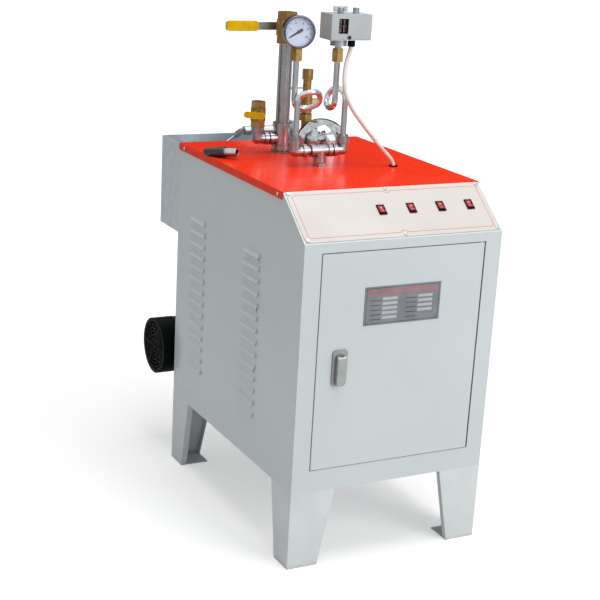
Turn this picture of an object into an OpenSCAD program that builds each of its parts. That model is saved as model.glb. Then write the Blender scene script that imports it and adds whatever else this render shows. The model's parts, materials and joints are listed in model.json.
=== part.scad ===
// Electric steam boiler of the kind used with garment irons: a sheet-steel cabinet on folded legs,
// an upright pressure drum inside it, a feed tank and a feed pump behind it, and the steam fittings
// on its glossy top cover. Lengths are in millimetres, angles in degrees.
// Sizes in the source run from the cabinet's front left corner at the floor: X to the right,
// Y to the back, Z up. The finished part's origin is at the middle of its base.

/* [Cabinet] */
// Width of the cabinet over its side panels
body_w = 400; // [380:1:440]
// Depth of the cabinet from the door face to the rear panel
body_d = 555; // [545:1:620]
// Height of the upright door face above the floor
face_h = 604; // [596:1:625]
// Height of the top cover's upper face above the floor
body_h = 676; // [660:1:720]
// How far back the sloping console reaches
slope_run = 93; // [80:1:110]
// Height of the cabinet's underside above the floor
base_h = 147; // [130:1:160]
// Thickness of the cabinet's sheet steel
sheet = 1.5; // [1:0.1:2]
// Width of the folds that stiffen the sheet parts
fold_w = 14; // [10:1:18]
// Depth of the top cover's turned-down rim
rim_h = 14; // [8:1:20]
// Height of the base pan's upturned edge
pan_edge_h = 20; // [10:1:30]

/* [Legs] */
// Front width of a leg at the floor
foot_w = 60; // [50:1:70]
// Front width of a leg under the cabinet
leg_top_w = 89; // [80:1:100]
// Side width of a leg at the floor
foot_d = 54; // [45:1:65]
// Side width of a leg under the cabinet
leg_top_d = 80; // [70:1:90]
// Thickness of a leg's folded steel
leg_sheet = 2; // [1.5:0.1:3]

/* [Louvres] */
// Louvres in one column
louvre_count = 14; // [10:1:15]
// Height from one louvre to the next
louvre_pitch = 23.4; // [20:0.1:25]
// Length of one louvre
louvre_len = 66; // [50:1:75]
// Height of one louvre's hood
louvre_h = 12; // [8:1:15]
// How far a hood stands out of the panel
louvre_out = 5; // [3:0.5:6]
// Height of the top louvre's upper edge
louvre_top = 549; // [520:1:570]
// Distance between the middles of the two louvre columns
louvre_span = 247; // [200:1:260]

/* [Door] */
// Width of the face on either side of the door opening
door_margin = 34; // [28:1:45]
// Height of the door opening's lower edge
door_low = 188; // [175:1:200]
// Height of the door opening's upper edge
door_high = 587; // [570:1:590]
// Gap round the door on its free sides
door_gap = 1.5; // [1:0.1:2.5]
// Gap at the hinge side, which lets the corner swing out
hinge_gap = 2.5; // [2.3:0.1:3.5]
// How far the door stands proud of the face
door_proud = 1; // [0:0.1:1.5]
// Depth of the door's folded edges
door_fold = 18; // [12:1:25]
// Diameter of a door hinge pin
hinge_d = 5; // [4:0.5:6]
// Width of the rating plate
rating_w = 155; // [120:1:170]
// Height of the rating plate
rating_h = 70; // [50:1:80]
// Height of the rating plate's middle above the floor
rating_z = 485.5; // [470:0.5:500]

/* [Lock] */
// Lock centre from the left side
lock_x = 80; // [70:1:95]
// Lock centre above the floor
lock_z = 378.5; // [360:0.5:400]
// Width of the lock's face plate
lock_w = 29; // [26:1:44]
// Height of the lock's face plate
lock_h = 65; // [60:1:90]
// Thickness of the lock's face plate
lock_t = 3; // [3:0.5:6]
// Width of the lock handle
handle_w = 17; // [15:1:20]
// Length of the lock handle below its pivot
handle_len = 50; // [40:1:52]
// Thickness of the lock handle
handle_t = 8; // [8:0.5:12]
// Diameter of the lock's spindle
spindle_d = 13; // [11:0.5:14]

/* [Console] */
// Distance from one switch to the next
switch_gap = 61; // [50:1:63]
// First switch from the right side
switch_x = 226.5; // [225:0.5:235]
// Switch centres up the slope from its lower edge
switch_up = 63.5; // [50:0.5:70]
// Width of a switch's bezel
bezel_w = 15; // [14:0.5:18]
// Length of a switch's bezel
bezel_l = 21.4; // [21:0.1:24]
// Depth of a switch body under its bezel
switch_deep = 17; // [15:1:22]
// Angle that a rocker travels
rocker_travel = 16; // [8:1:18]
// Thickness of the console's face plate
console_t = 1.2; // [0.8:0.1:2]

/* [Drum] */
// Outside diameter of the pressure drum
drum_d = 300; // [280:1:304]
// Overall height of the pressure drum
drum_h = 428; // [400:1:440]
// Drum axis behind the face
drum_y = 375; // [370:1:382]
// Height of a dished head
head_h = 75; // [60:1:85]
// Diameter of the heater neck
heater_neck_d = 90; // [80:1:100]
// Height of the heaters above the drum's underside
heater_z = 82; // [76:1:100]
// Length of the heaters inside the drum
heater_len = 200; // [150:1:210]

/* [Inspection dome] */
// Dome axis from the left side
dome_x = 251; // [245:1:260]
// Dome axis behind the face
dome_y = 430; // [425:1:436]
// Diameter of the dome
dome_d = 96; // [86:1:100]
// Height of the dome's upright skirt
dome_skirt = 24; // [15:1:30]
// Height of the rounded cap over its skirt
dome_rise = 38; // [30:1:45]
// Diameter of the drum's neck under the dome
neck_d = 70; // [60:1:76]

/* [Pipes and fittings] */
// Outside diameter of the small pipes
pipe_d = 17.2; // [16:0.1:18]
// Bore of the small pipes
pipe_bore = 12.6; // [10:0.1:13]
// Fitting centre to its end face
reach = 22; // [21:0.5:26]
// Diameter of a fitting's collar
collar_d = 25; // [24:0.5:28]
// Depth of a fitting's socket
seat = 9; // [7:0.5:10]
// Front manifold from the left side
front_x = 172; // [165:1:180]
// Front manifold behind the face
front_y = 286; // [280:1:295]
// Height of the manifold's axis above the cover
manifold_rise = 29; // [29:0.5:40]
// Gauge elbow from the manifold's tee
gauge_arm = 53; // [48:1:60]
// Controller elbow from the manifold's tee
control_arm = 47; // [46:1:60]

/* [Siphon tubes] */
// Outside diameter of the siphon tubes
siphon_d = 11; // [9:0.5:12]
// Width of a siphon's loop at the tube's middle
loop_w = 50; // [44:1:54]
// Height of a siphon's loop at the tube's middle
loop_h = 36; // [34:1:44]
// Height of the loops' middle above the cover
loop_z = 122; // [110:1:130]
// Height of the tubes' upper ends above the cover
siphon_top = 206; // [195:1:215]
// How far the gauge siphon's loop steps back in one turn
gauge_step = 14; // [13:0.5:18]
// How far the gauge siphon's loop leans
gauge_lean = 14; // [0:1:16]
// How far the controller siphon's loop steps aside in one turn
control_step = 22; // [14:0.5:24]

/* [Pressure gauge] */
// Diameter of the gauge's case
gauge_d = 60; // [50:1:64]
// Depth of the gauge's case
gauge_t = 28; // [22:1:32]
// Diameter of the view of the dial
dial_d = 51; // [42:1:53]
// Way that the gauge is turned from straight ahead
gauge_turn = -14; // [-30:1:30]
// Angle of the needle at zero, from the dial's right
needle_zero = 213; // [200:1:240]

/* [Pressure controller] */
// Width of the controller's housing
box_w = 84; // [80:1:95]
// Depth of the controller's housing
box_d = 46; // [40:1:55]
// Height of the controller's housing
box_h = 47; // [42:1:55]
// Pressure port from the housing's left side
port_x = 26; // [20:1:30]
// Width of the scale window
window_w = 20; // [16:1:22]
// Height of the scale window
window_h = 27; // [20:1:30]
// Differential screw from the pressure port
diff_gap = 33; // [28:1:38]
// Cable gland from the pressure port
gland_gap = 24; // [22:1:30]

/* [Main steam valve] */
// Steam riser from the left side
riser_x = 157; // [150:1:162]
// Steam riser behind the face
riser_y = 420; // [416:1:426]
// Outside diameter of the steam riser
riser_d = 26.9; // [25:0.1:28]
// Height of the main valve's lower end above the cover
steam_valve_z = 211; // [200:1:220]
// Length of the main valve
steam_valve_len = 59; // [54:1:66]
// Width of the main valve's ends across their flats
steam_hex = 36; // [34:1:40]
// Diameter of the main valve's round middle
steam_round = 41; // [38:1:46]
// Radius of the steam outlet's threaded hole
steam_thread_r = 12.1; // [11:0.1:13]
// Reach of the lever from its stem
lever_len = 115; // [95:1:130]
// Length of the lever's grip
grip_len = 66; // [55:1:75]
// Height of the lever's grip
grip_w = 19; // [16:0.5:22]

/* [Side steam valve] */
// Side valve from the steam riser
side_arm = 53; // [48:1:60]
// Length of the side valve
side_valve_len = 50; // [44:1:56]
// Width of the side valve's ends across their flats
side_hex = 25; // [24:1:28]
// Diameter of the side valve's round middle
side_round = 29; // [27:1:32]
// Radius of the side outlet's threaded hole
side_thread_r = 9.3; // [8.5:0.1:10]
// Way that the side valve's stem faces, from straight back
side_turn = 135; // [90:5:180]
// Width of the butterfly handle
butterfly_w = 42; // [34:1:48]

/* [Safety valve] */
// Safety valve from the left side
safety_x = 248; // [244:1:252]
// Safety valve behind the face
safety_y = 498; // [495:1:500]
// Height of the safety valve's hexagon above the cover
safety_z = 48; // [40:1:60]
// Diameter of the safety valve's body
safety_d = 24; // [22:0.5:26]
// Angle that the lifting lever swings
lift_swing = 25; // [10:1:30]

/* [Feed tank] */
// Width of the feed tank
tank_w = 265; // [250:1:300]
// Depth of the feed tank
tank_d = 102; // [95:1:120]
// Height of the feed tank's bottom above the floor
tank_z = 491; // [470:1:510]
// Height of the feed tank's rim above the floor
tank_top = 673; // [655:1:676]
// Diameter of the float ball
float_d = 62; // [50:1:70]
// Length of the float arm from its pivot
float_len = 95; // [85:1:100]

/* [Feed pump] */
// Diameter of the motor's fan cover
motor_d = 118; // [110:1:124]
// Height of the motor's axis above the floor
motor_z = 229; // [225:1:245]
// Motor's axis behind the rear panel
motor_back = 70; // [66:1:80]
// How far the fan cover stands out past the left side
motor_out = 19; // [10:1:30]
// Length of the fan cover
cowl_len = 42; // [36:1:48]
// Length of the motor's housing
motor_len = 112; // [100:1:130]
// Length of the pump's head
pump_len = 46; // [40:1:56]
// Diameter of the pump's head
pump_d = 104; // [100:1:110]
// Diameter of the motor's shaft
shaft_d = 12; // [10:0.5:14]

/* [Controller cable] */
// Outside diameter of the controller's cable
cable_d = 8; // [6:0.5:9]

/* [Hidden] */
$fn = 48;
// Walls, gaps and fittings that stay the same
panel_gap = 0.3;
hinge_inset = 4.2;
hinge_set = 3.5;
hinge_len = 12;
rating_t = 0.8;
console_edge = 3;
drum_wall = 5;
drum_lift = 25;
socket_d = 30;
socket_rise = 16;
pipe_play = 0.15;
collar_len = 8;
barrel_d = 20.5;
gauge_wall = 1.5;
box_t = 1.6;
window_x = 15;
tank_wall = 1.2;
tank_x = 2;
float_rise = 13;
dome_wall = 2;
louvre_wall = 1.2;
leg_fold = 12;
needle_len = 20;

// Overrun of every cut
cut = 1;
// Gap between pieces that only lie beside each other
play = 0.3;
// Radial gap of a shaft or pin that turns in its hole
running = 0.05;

// The console's slope, and the level of what lies just under the cover
slope_rise = body_h - face_h;
slope_angle = atan2(slope_rise, slope_run);
slope_len = norm([slope_run, slope_rise]);
under_cover = body_h - sheet - panel_gap;
pan_top = base_h + sheet;
cover_front_y = slope_run - sheet / tan(slope_angle);

// Door edges and hinge axis
door_x0 = door_margin + door_gap;
door_x1 = body_w - door_margin - hinge_gap;
door_z0 = door_low + door_gap;
door_z1 = door_high - door_gap;
hinge_x = door_x1 - hinge_inset;

// Lock: its spindle, tongue and handle
spindle_up = 19;
lock_barrel_d = 20;
lock_barrel_len = 15;
lock_corner_r = 6;
lock_nut_t = 3;
lock_face_y = -door_proud - lock_t;
pivot_y = lock_face_y - play - handle_t / 2;
pivot_z = lock_z + spindle_up;
tongue_w = 5;
tongue_h = 5;
pivot_d = 3;
cam_t = 2.5;
cam_w = 14;
cam_hold = 9;
cam_y = door_fold - door_proud + play;
frame_lip = 16;

// Rating plate's rivets
rivet_in = 6;
rivet_d = 4;
rivet_t = 0.8;

// Feed pump and its axis
motor_y = body_d + motor_back;

// The finished part's corners, which put the origin at the middle of its base
reach_left = -motor_out;
reach_right = body_w + max(louvre_out, panel_gap + sheet);
reach_front = pivot_y - handle_t / 2;
reach_back = motor_y + motor_d / 2;
middle = [(reach_left + reach_right) / 2, (reach_front + reach_back) / 2, 0];

// Screws: head, shank and the holes that they pass
screw_head_d = 7;
screw_head_t = 2;
screw_d = 3.6;
screw_len = 8;
screw_hole_d = screw_d + 2 * play;
rim_screw_z = body_h - rim_h / 2;
rim_screw_ys = [slope_run + rim_h, body_d - 2 * rim_h];
side_middle = (slope_run + body_d) / 2;
side_screw_y = side_middle - louvre_span / 2 - louvre_len / 2 + rim_h / 2;
side_screw_rows = [0, 4, 9];
side_screw_zs = [for (row = side_screw_rows)
  louvre_top - louvre_h - (louvre_pitch - louvre_h) / 2 - row * louvre_pitch];
screw_in = 8;
console_screws = [
  [screw_in, screw_in], [body_w / 2, screw_in],
  [body_w - screw_in, screw_in], [screw_in, slope_len - screw_in],
  [body_w / 2, slope_len - screw_in], [body_w - screw_in, slope_len - screw_in]];

// Rocker switches
switch_count = 4;
bezel_t = 2;
bezel_wall = 2;
bezel_lip = 1;
rocker_gap = 0.2;
rocker_end_gap = 1;
rocker_half = bezel_l / 2 - bezel_wall - rocker_end_gap;
rocker_top = 4.6;
rocker_edge = 1.5;
rocker_sink = 1.5;
rocker_pin_in = 0.5;
rocker_dip = 2.6;
rocker_drop = 3;
rocker_foot = 2.5;
rocker_pin_d = 2.4;
rocker_level = console_t - rocker_sink;
pocket_deep = 9;

// Inside the cabinet: the drum's levels and the sockets on its crown
drum_x = body_w / 2;
drum_z = pan_top + drum_lift;
drum_top = drum_z + drum_h;
socket_top = drum_top + socket_rise;
top_sockets = [[front_x, front_y], [riser_x, riser_y], [safety_x, safety_y]];
drum_foot_d = 24;
foot_share = 0.55;
neck_wall = 4;
neck_above = 12;
feed_x = riser_x;
feed_z = 376;
feed_back = 43;
suction_back = 77;
feed_y = body_d + feed_back;
suction_y = body_d + suction_back;
feed_socket_y = drum_y + sqrt(pow(drum_d / 2, 2) - pow(feed_x - drum_x, 2)) + socket_rise / 2;
heater_neck_out = 18;
heater_y = drum_y - drum_d / 2 - heater_neck_out;
flange_t = 10;
flange_out = 8;
heat_rod_d = 10;
rod_gap = 26;
heater_row = 25;
stud_d = 6;
stud_len = 14;
bolt_count = 6;
bolt_d = 10;
bolt_t = 6;

// Switchgear behind the door
gear_y = 160;
gear_x = 60;
gear_top = 560;
gear_foot = 30;
contactor_x = 76;
contactor = [48, 74, 78];
contactor_z = 420;
contactor_pitch = 62;
contactor_count = 3;
terminal = [230, 34, 30];
terminal_z = 300;
breaker = [18, 66, 84];
breaker_x = 290;
breaker_count = 2;

// Fittings above the cover
axis_z = body_h + manifold_rise;
bush_t = 3.5;
hole_play = 3;
nut_t = 6;
nut_af = 25;
reducer_d = 33;
reducer_h = 26;
reducer_deep = 12;
reducer_bore = 20;

// Siphon tubes: where they start and end
siphon_steps = 24;
siphon_sides = 12;
siphon_low = axis_z + reach - seat;
gauge_x = front_x - gauge_arm;
control_x = front_x + control_arm;
stem_x = control_x - control_step;
gauge_top_y = front_y + gauge_step;
union_af = 20;
union_h = 23;
neck_tube_d = 13;
union_deep = 12;
riser_in = 12;
valve_in = 8;
side_reach = 28;

// Gauge: its case, dial, needle and glass, measured from the case's back
gauge_z = body_h + siphon_top + union_h - union_deep + gauge_d / 2 + play;
dial_t = 0.8;
glass_t = 1.5;
glass_front = 2.2;
needle_t = 0.7;
needle_w = 2.4;
needle_tail = 8;
hub_d = 6;
gauge_set = 10;
gauge_ledge = 3;
dial_level = 10;
arbor_d = 2;

// Controller: its housing's corner, and what it holds
port_z = body_h + siphon_top + union_h - union_deep;
bellows_d = 32;
bellows_h = 11;
bellows_folds = 3;
bellows_dip = 5;
label_share = 0.45;
port_neck_h = 6;
box_z = port_z + port_neck_h + bellows_h;
box_x = stem_x - port_x;
port_back = 19;
box_y = front_y - port_back;
port_y = front_y;
window_down = 8;
scale_back = 6;
scale_t = 1;
range_rod_d = 5;
rod_len = 42;
stay_up = 9;
stay_t = 2;
stay_w = 16;
knob_neck = 3;
knob_d = 14;
knob_h = 8;
wing_w = 28;
wing_t = 4;
wing_up = 2;
diff_knob_d = 12;
diff_knob_h = 10;
pointer_h = 4;
pointer_w = 12;
pointer_drop = 19;
gland_back = 13;
gland_y = box_y + gland_back;
gland_d = 14;
gland_h = 12;

// Ball valves
boss_out = 4;
lever_t = 2.5;
lever_w = 15;
lever_nut_t = 6;
grip_t = 9;
grip_corner_r = 6;
butterfly_t = 4;
butterfly_hub_d = 14;
butterfly_h = 12;
stem_share = 0.22;
ball_share = 0.7;
flow_share = 0.42;
end_share = 0.25;

// Safety valve, from its hexagon upwards
hex_af = 25;
hex_h = 13;
waist_h = 3;
spring_h = 36;
bonnet_d = 17;
bonnet_h = 30;
cap_d = 22;
cap_h = 20;
discharge_d = 19;
discharge_out = 22;
hex_z = body_h + safety_z;
spring_z = hex_z + hex_h + waist_h;
bonnet_z = spring_z + spring_h;
lift_w = 5;
lift_t = 2.5;
lift_len = 34;
lift_pin_d = 3;
lift_pin_x = 4;
lift_up = 10;
slot_z = bonnet_z + lift_up;
lift_pin_z = slot_z + lift_t + play;
lift_room = 2 * lift_t + play + (lift_pin_x + bonnet_d / 2) * tan(lift_swing);

// Float valve and its arm
float_y = body_d + tank_d / 2;
valve_axis_z = tank_top + float_rise;
float_body_d = 19;
float_body_len = 100;
inlet_r = 10.45;
inlet_len = 24;
flange_wide = 27;
flange_len = 4;
ear_w = 44;
ear_h = 34;
lug_len = 9;
ear_x = tank_x + tank_w - tank_wall;
pivot_x = ear_x - flange_len - float_body_len - lug_len / 2;
lug_t = 5;
float_fork_t = 3;
float_pin_d = 4;
float_rod_d = 5;
float_droop = 34;

// Pump, motor and what carries them
shelf_t = 3;
shelf_x = 56;
shelf_w = 168;
shelf_up = 44;
shelf_past = 38;
shelf_below = 8;
shelf_z = motor_z - motor_d / 2 - shelf_below;
housing_in = 8;
housing_d = motor_d - housing_in;
stator_bore = 62;
rotor_d = 61;
rotor_len = 70;
end_t = 9;
rib_count = 24;
rib_out = 3;
rib_t = 3;
foot_at = 32;
foot_len = 60;
foot_wide = 70;
tbox_len = 50;
tbox_w = 52;
tbox_up = 16;
fan_d = 96;
fan_t = 12;
vane_count = 9;
ring_count = 6;
bar_w = 2.4;
bar_count = 3;
bar_edge = 16;
impeller_gap = 6;
check_gap = 8;
fan_wall = 1.6;
impeller_d = 84;
impeller_t = 8;
pump_wall = 8;
pump_x = -motor_out + cowl_len + motor_len;
port_boss_d = 27;
port_up = 18;
check_af = 26;
check_len = 42;

// Drain under the drum
drain_z = 96;
drain_len = 40;
drain_af = 25;
drain_round = 28;
drain_lever = 70;

// Mains cable gland in the rear panel
mains_in = 70;
mains_x = body_w - mains_in;
mains_z = base_h + mains_in;
mains_bore_r = 7;
mains_d = 26;
mains_out = 16;
gland_step = 4;
gland_nut_t = 5;
grommet_d = 17;
grommet_h = 2.5;
grommet_slack = 1.5;
waist_in = 2;
grommet_x = 312;
grommet_y = 249;

// Route of the controller's cable, from its gland to the cover
cable_route = [
  [221, 280, 900], [221, 280, 895], [216, 277.5, 884], [208, 272.5, 866], [203, 267, 842], [204, 263, 820],
  [210, 260, 802], [220, 258, 785], [234, 256, 767], [249, 254, 750], [264, 252, 733],
  [279, 250, 716], [293, 249, 702], [304, 249, 692], [310, 249, 684], [312, 249, 676], [312, 249, 671]];
cable_sides = 10;

// Loose hose connector on the cover
loose_at = [-4, 422];
loose_turn = -50;
tail_d = 14;
sleeve_d = 22;
sleeve_len = 44;
tip_d = 16.5;
tip_len = 24;
tip_bore = 11.5;

// Moves a piece from the cabinet's front left corner to the part's own origin
module placed() move(-middle) children();

// Extrudes an outline drawn in Y and Z along X
module along_x(len) rotate([90, 0, 90]) linear_extrude(len) children();

// Extrudes an outline drawn in X and Z along Y
module along_y(len) move([0, len, 0]) rotate([90, 0, 0]) linear_extrude(len) children();

// Stands a piece on the console's slope: X across, Y up the slope, Z outwards
module on_slope() move([0, 0, face_h]) rotate([slope_angle, 0, 0]) children();

// Moves pieces
module move(by) translate(by) children();

// Box between two corners
module box(low, high) move(low) cube(high - low);

// Rod along Z, X or Y
module rod(d, len) cylinder(d = d, h = len);
module rod_x(d, len) rotate([0, 90, 0]) cylinder(d = d, h = len);
module rod_y(d, len) rotate([-90, 0, 0]) cylinder(d = d, h = len);

// Hole along Z or X, cut past both ends of what it goes through
module bore(d, len) move([0, 0, -cut]) rod(d, len + 2 * cut);
module bore_x(d, len) move([-cut, 0, 0]) rod_x(d, len + 2 * cut);

// Hexagon bar along Z, given across its flats
module hexagon(af, len) cylinder(d = af / cos(30), h = len, $fn = 6);

// Hexagon nut along Z with its hole
module nut(af, len, d) difference() {
  hexagon(af, len);
  bore(d, len);
}

// Rectangle with round corners, its lower left corner at zero
module round_rect(w, h, r) {
  move([r, 0]) square([w - 2 * r, h]);
  move([0, r]) square([w, h - 2 * r]);
  for (x = [r, w - r], y = [r, h - r]) move([x, y]) circle(r);
}

// Unit vector
function unit(v) = v / norm(v);

// Direction of a route at one of its points
function heading(route, i) = unit(route[min(i + 1, len(route) - 1)] - route[max(i - 1, 0)]);

// Tube swept along a route; guide is a direction that the route never follows
module swept_tube(route, d, sides, guide) {
  rings = [for (i = [0 : len(route) - 1])
    let (t = heading(route, i), u = unit(cross(guide, t)), v = cross(t, u))
    for (k = [0 : sides - 1]) route[i] + d / 2 * (cos(360 * k / sides) * u + sin(360 * k / sides) * v)];
  last = (len(route) - 1) * sides;
  walls = [for (i = [0 : len(route) - 2], k = [0 : sides - 1])
    let (a = i * sides + k, b = i * sides + (k + 1) % sides)
    each [[a, a + sides, b], [b, a + sides, b + sides]]];
  caps = [for (k = [1 : sides - 2]) each [[0, k, k + 1], [last, last + k + 1, last + k]]];
  polyhedron(rings, concat(walls, caps), convexity = 6);
}

// Route of a siphon tube: up its lower leg, once round its loop and up its upper leg.
// side points across the loop, lean tips it, and step parts the loop's two ends.
function siphon_route(foot, top_z, side, lean, step) =
  let (mid = [foot.x, foot.y, body_h + loop_z])
  concat([foot, [foot.x, foot.y, foot.z + siphon_d]],
    [for (i = [0 : siphon_steps])
      let (turn = 360 * i / siphon_steps)
      mid + loop_w / 2 * (1 - cos(turn)) * side + [0, 0, loop_h / 2 * sin(turn)]
        + pow(sin(turn), 3) * lean + (i / siphon_steps - sin(turn) / 360 * 180 / PI) * step],
    [[foot.x, foot.y, top_z - siphon_d] + step, [foot.x, foot.y, top_z] + step]);

// Least gap from a tube's wall to itself, over points more than a quarter loop apart
function self_gap(route, d) = min([for (i = [0 : len(route) - 1], k = [i + 7 : 1 : len(route) - 1])
  norm(route[i] - route[k])]) - d;

gauge_route = siphon_route([gauge_x, front_y, siphon_low], body_h + siphon_top,
  [1, 0, 0], [0, -gauge_lean, 0], [0, gauge_step, 0]);
control_route = siphon_route([control_x, front_y, siphon_low], body_h + siphon_top,
  [0, 1, 0], [0, 0, 0], [-control_step, 0, 0]);
echo(gauge_siphon_gap = self_gap(gauge_route, siphon_d));
echo(control_siphon_gap = self_gap(control_route, siphon_d));

module front_frame() color("gainsboro") placed() {
  slope_top = (under_cover - face_h) / tan(slope_angle);
  fold_end = slope_run + fold_w;
  inner_low = face_h + sheet * tan(slope_angle) - sheet / cos(slope_angle);
  inner_top = (under_cover - sheet - face_h + sheet / cos(slope_angle)) / tan(slope_angle);
  difference() {
    union() {
      along_x(body_w) polygon([[0, base_h], [0, face_h], [slope_top, under_cover],
        [fold_end, under_cover], [fold_end, under_cover - sheet], [inner_top, under_cover - sheet],
        [sheet, inner_low], [sheet, base_h]]);
      // Lips around the opening, none on the hinge side
      box([door_margin - sheet, 0, door_low - sheet], [body_w - door_margin, frame_lip, door_high + sheet]);
    }
    box([door_margin, -cut, door_low], [body_w - door_margin + cut, frame_lip + cut, door_high]);
    on_slope() {
      switch_holes();
      console_holes();
    }
  }
  for (z = [door_low - sheet, door_high - hinge_len])
    move([hinge_x, hinge_set, z]) rod(hinge_d, hinge_len + sheet);
}

// Holes for the switches, through overlay and sheet
module switch_holes() {
  for (i = [0 : switch_count - 1]) move([body_w - switch_x + i * switch_gap, switch_up, 0])
    box([bezel_lip - bezel_w / 2 - play, bezel_lip - bezel_l / 2 - play, -sheet - cut],
      [bezel_w / 2 - bezel_lip + play, bezel_l / 2 - bezel_lip + play, console_t + cut]);
}

// Holes for the console's screws, through overlay and sheet
module console_holes() {
  for (at = console_screws) move([at.x, at.y, -sheet - cut])
    rod(screw_hole_d, sheet + console_t + 2 * cut);
}

// One louvre: a hood that is open underneath, its top at zero
module louvre_hood() {
  side_wall = louvre_wall / cos(atan2(louvre_out, louvre_h));
  difference() {
    along_y(louvre_len) polygon([[0, 0], [-louvre_out, -louvre_h], [0, -louvre_h]]);
    move([0, louvre_wall, 0]) along_y(louvre_len - 2 * louvre_wall)
      polygon([[cut, -louvre_h * side_wall / louvre_out], [0, -louvre_h * side_wall / louvre_out],
        [side_wall - louvre_out, -louvre_h], [side_wall - louvre_out, -louvre_h - cut],
        [cut, -louvre_h - cut]]);
  }
}

// Places of the louvres on a side
module at_louvres() {
  for (side = [-1, 1], row = [0 : louvre_count - 1])
    move([0, side_middle + side * louvre_span / 2 - louvre_len / 2, louvre_top - row * louvre_pitch])
      children();
}

module side_panel() {
  inset = sheet + panel_gap;
  top = under_cover - inset;
  front_top = face_h + inset * tan(slope_angle) - inset / cos(slope_angle);
  slope_end = (top - face_h + inset / cos(slope_angle)) / tan(slope_angle);
  slot_top = louvre_h * louvre_wall / cos(atan2(louvre_out, louvre_h)) / louvre_out;
  fold_low = pan_top + pan_edge_h + play;
  difference() {
    along_x(sheet) polygon([[inset, base_h], [inset, front_top], [slope_end, top],
      [body_d - inset, top], [body_d - inset, base_h]]);
    at_louvres() box([-cut, louvre_wall, -louvre_h], [sheet + cut, louvre_len - louvre_wall, -slot_top]);
    for (y = rim_screw_ys) move([-cut, y, rim_screw_z]) rod_x(screw_hole_d, sheet + 2 * cut);
    for (z = side_screw_zs) move([-cut, side_screw_y, z]) rod_x(screw_hole_d, sheet + 2 * cut);
  }
  box([0, inset, fold_low], [fold_w, inset + sheet, front_top]);
  box([0, body_d - inset - sheet, fold_low], [fold_w, body_d - inset, top]);
  at_louvres() louvre_hood();
}

module left_side_panel() color("gainsboro") placed() side_panel();

module right_side_panel() color("gainsboro") placed()
  move([body_w, 0, 0]) mirror([1, 0, 0]) side_panel();

module rear_panel() color("gainsboro") placed() difference() {
  box([0, body_d - sheet, base_h], [body_w, body_d, under_cover]);
  move([feed_x, body_d - sheet - cut, feed_z]) rod_y(pipe_d + 2 * hole_play, sheet + 2 * cut);
  move([mains_x, body_d - sheet - cut, mains_z]) rod_y(mains_d - 2 * gland_step, sheet + 2 * cut);
}

module base_pan() color("silver") placed() {
  inset = sheet + panel_gap;
  difference() {
    box([inset, inset, base_h], [body_w - inset, body_d - inset, pan_top + pan_edge_h]);
    box([inset + sheet, inset + sheet, pan_top],
      [body_w - inset - sheet, body_d - inset - sheet, pan_top + pan_edge_h + cut]);
    move([drum_x, drum_y, base_h - cut]) rod(pipe_d + 2 * hole_play, sheet + 2 * cut);
  }
}

// One corner leg, at the cabinet's front left corner
module corner_leg() {
  along_y(leg_sheet) polygon([[0, 0], [0, base_h], [leg_top_w, base_h], [foot_w, 0]]);
  along_x(leg_sheet) polygon([[0, 0], [0, base_h], [leg_top_d, base_h], [foot_d, 0]]);
  along_y(leg_fold) polygon([[leg_top_w - leg_sheet, base_h], [leg_top_w, base_h],
    [foot_w, 0], [foot_w - leg_sheet, 0]]);
  along_x(leg_fold) polygon([[leg_top_d - leg_sheet, base_h], [leg_top_d, base_h],
    [foot_d, 0], [foot_d - leg_sheet, 0]]);
  box([0, 0, 0], [foot_w, foot_d, leg_sheet]);
  move([0, 0, base_h - leg_sheet]) linear_extrude(leg_sheet)
    polygon([[0, 0], [leg_top_w, 0], [0, leg_top_d]]);
}

module corner_legs() color("lightslategray") placed() {
  corner_leg();
  move([body_w, 0, 0]) mirror([1, 0, 0]) corner_leg();
  move([0, body_d, 0]) mirror([0, 1, 0]) corner_leg();
  move([body_w, body_d, 0]) mirror([1, 0, 0]) mirror([0, 1, 0]) corner_leg();
}

module top_cover() color("gainsboro") placed() {
  rim_out = panel_gap + sheet;
  cover_low = body_h - sheet - cut;
  cut_t = sheet + 2 * cut;
  difference() {
    union() {
      box([-rim_out, cover_front_y, body_h - sheet], [body_w + rim_out, body_d, body_h]);
      for (x = [-rim_out, body_w + panel_gap])
        box([x, cover_front_y, body_h - rim_h], [x + sheet, body_d, body_h]);
    }
    move([front_x, front_y, cover_low]) rod(pipe_d + 2 * hole_play, cut_t);
    move([safety_x, safety_y, cover_low]) rod(pipe_d + 2 * hole_play, cut_t);
    move([riser_x, riser_y, cover_low]) rod(riser_d + 2 * hole_play, cut_t);
    move([dome_x, dome_y, cover_low]) rod(neck_d + 2 * hole_play, cut_t);
    move([grommet_x, grommet_y, cover_low]) rod(grommet_d - 2 * waist_in, cut_t);
    for (y = rim_screw_ys) move([-rim_out - cut, y, rim_screw_z])
      rod_x(screw_hole_d, body_w + 2 * rim_out + 2 * cut);
  }
}

module console_panel() color("darkslategray") placed() on_slope() difference() {
  box([console_edge, console_edge, 0], [body_w - console_edge, slope_len - console_edge, console_t]);
  switch_holes();
  console_holes();
}

// Pan head screw that points along Z, its head's underside at zero
module screw() {
  move([0, 0, -screw_head_t]) rod(screw_head_d, screw_head_t);
  rod(screw_d, screw_len);
}

// The side screws of the left side
module side_screws() {
  for (y = rim_screw_ys) move([-panel_gap - sheet, y, rim_screw_z]) rotate([0, 90, 0]) screw();
  for (z = side_screw_zs) move([0, side_screw_y, z]) rotate([0, 90, 0]) screw();
}

module panel_screws() color("silver") placed() {
  on_slope() for (at = console_screws) move([at.x, at.y, console_t]) mirror([0, 0, 1]) screw();
  side_screws();
  move([body_w, 0, 0]) mirror([1, 0, 0]) side_screws();
}

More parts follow.
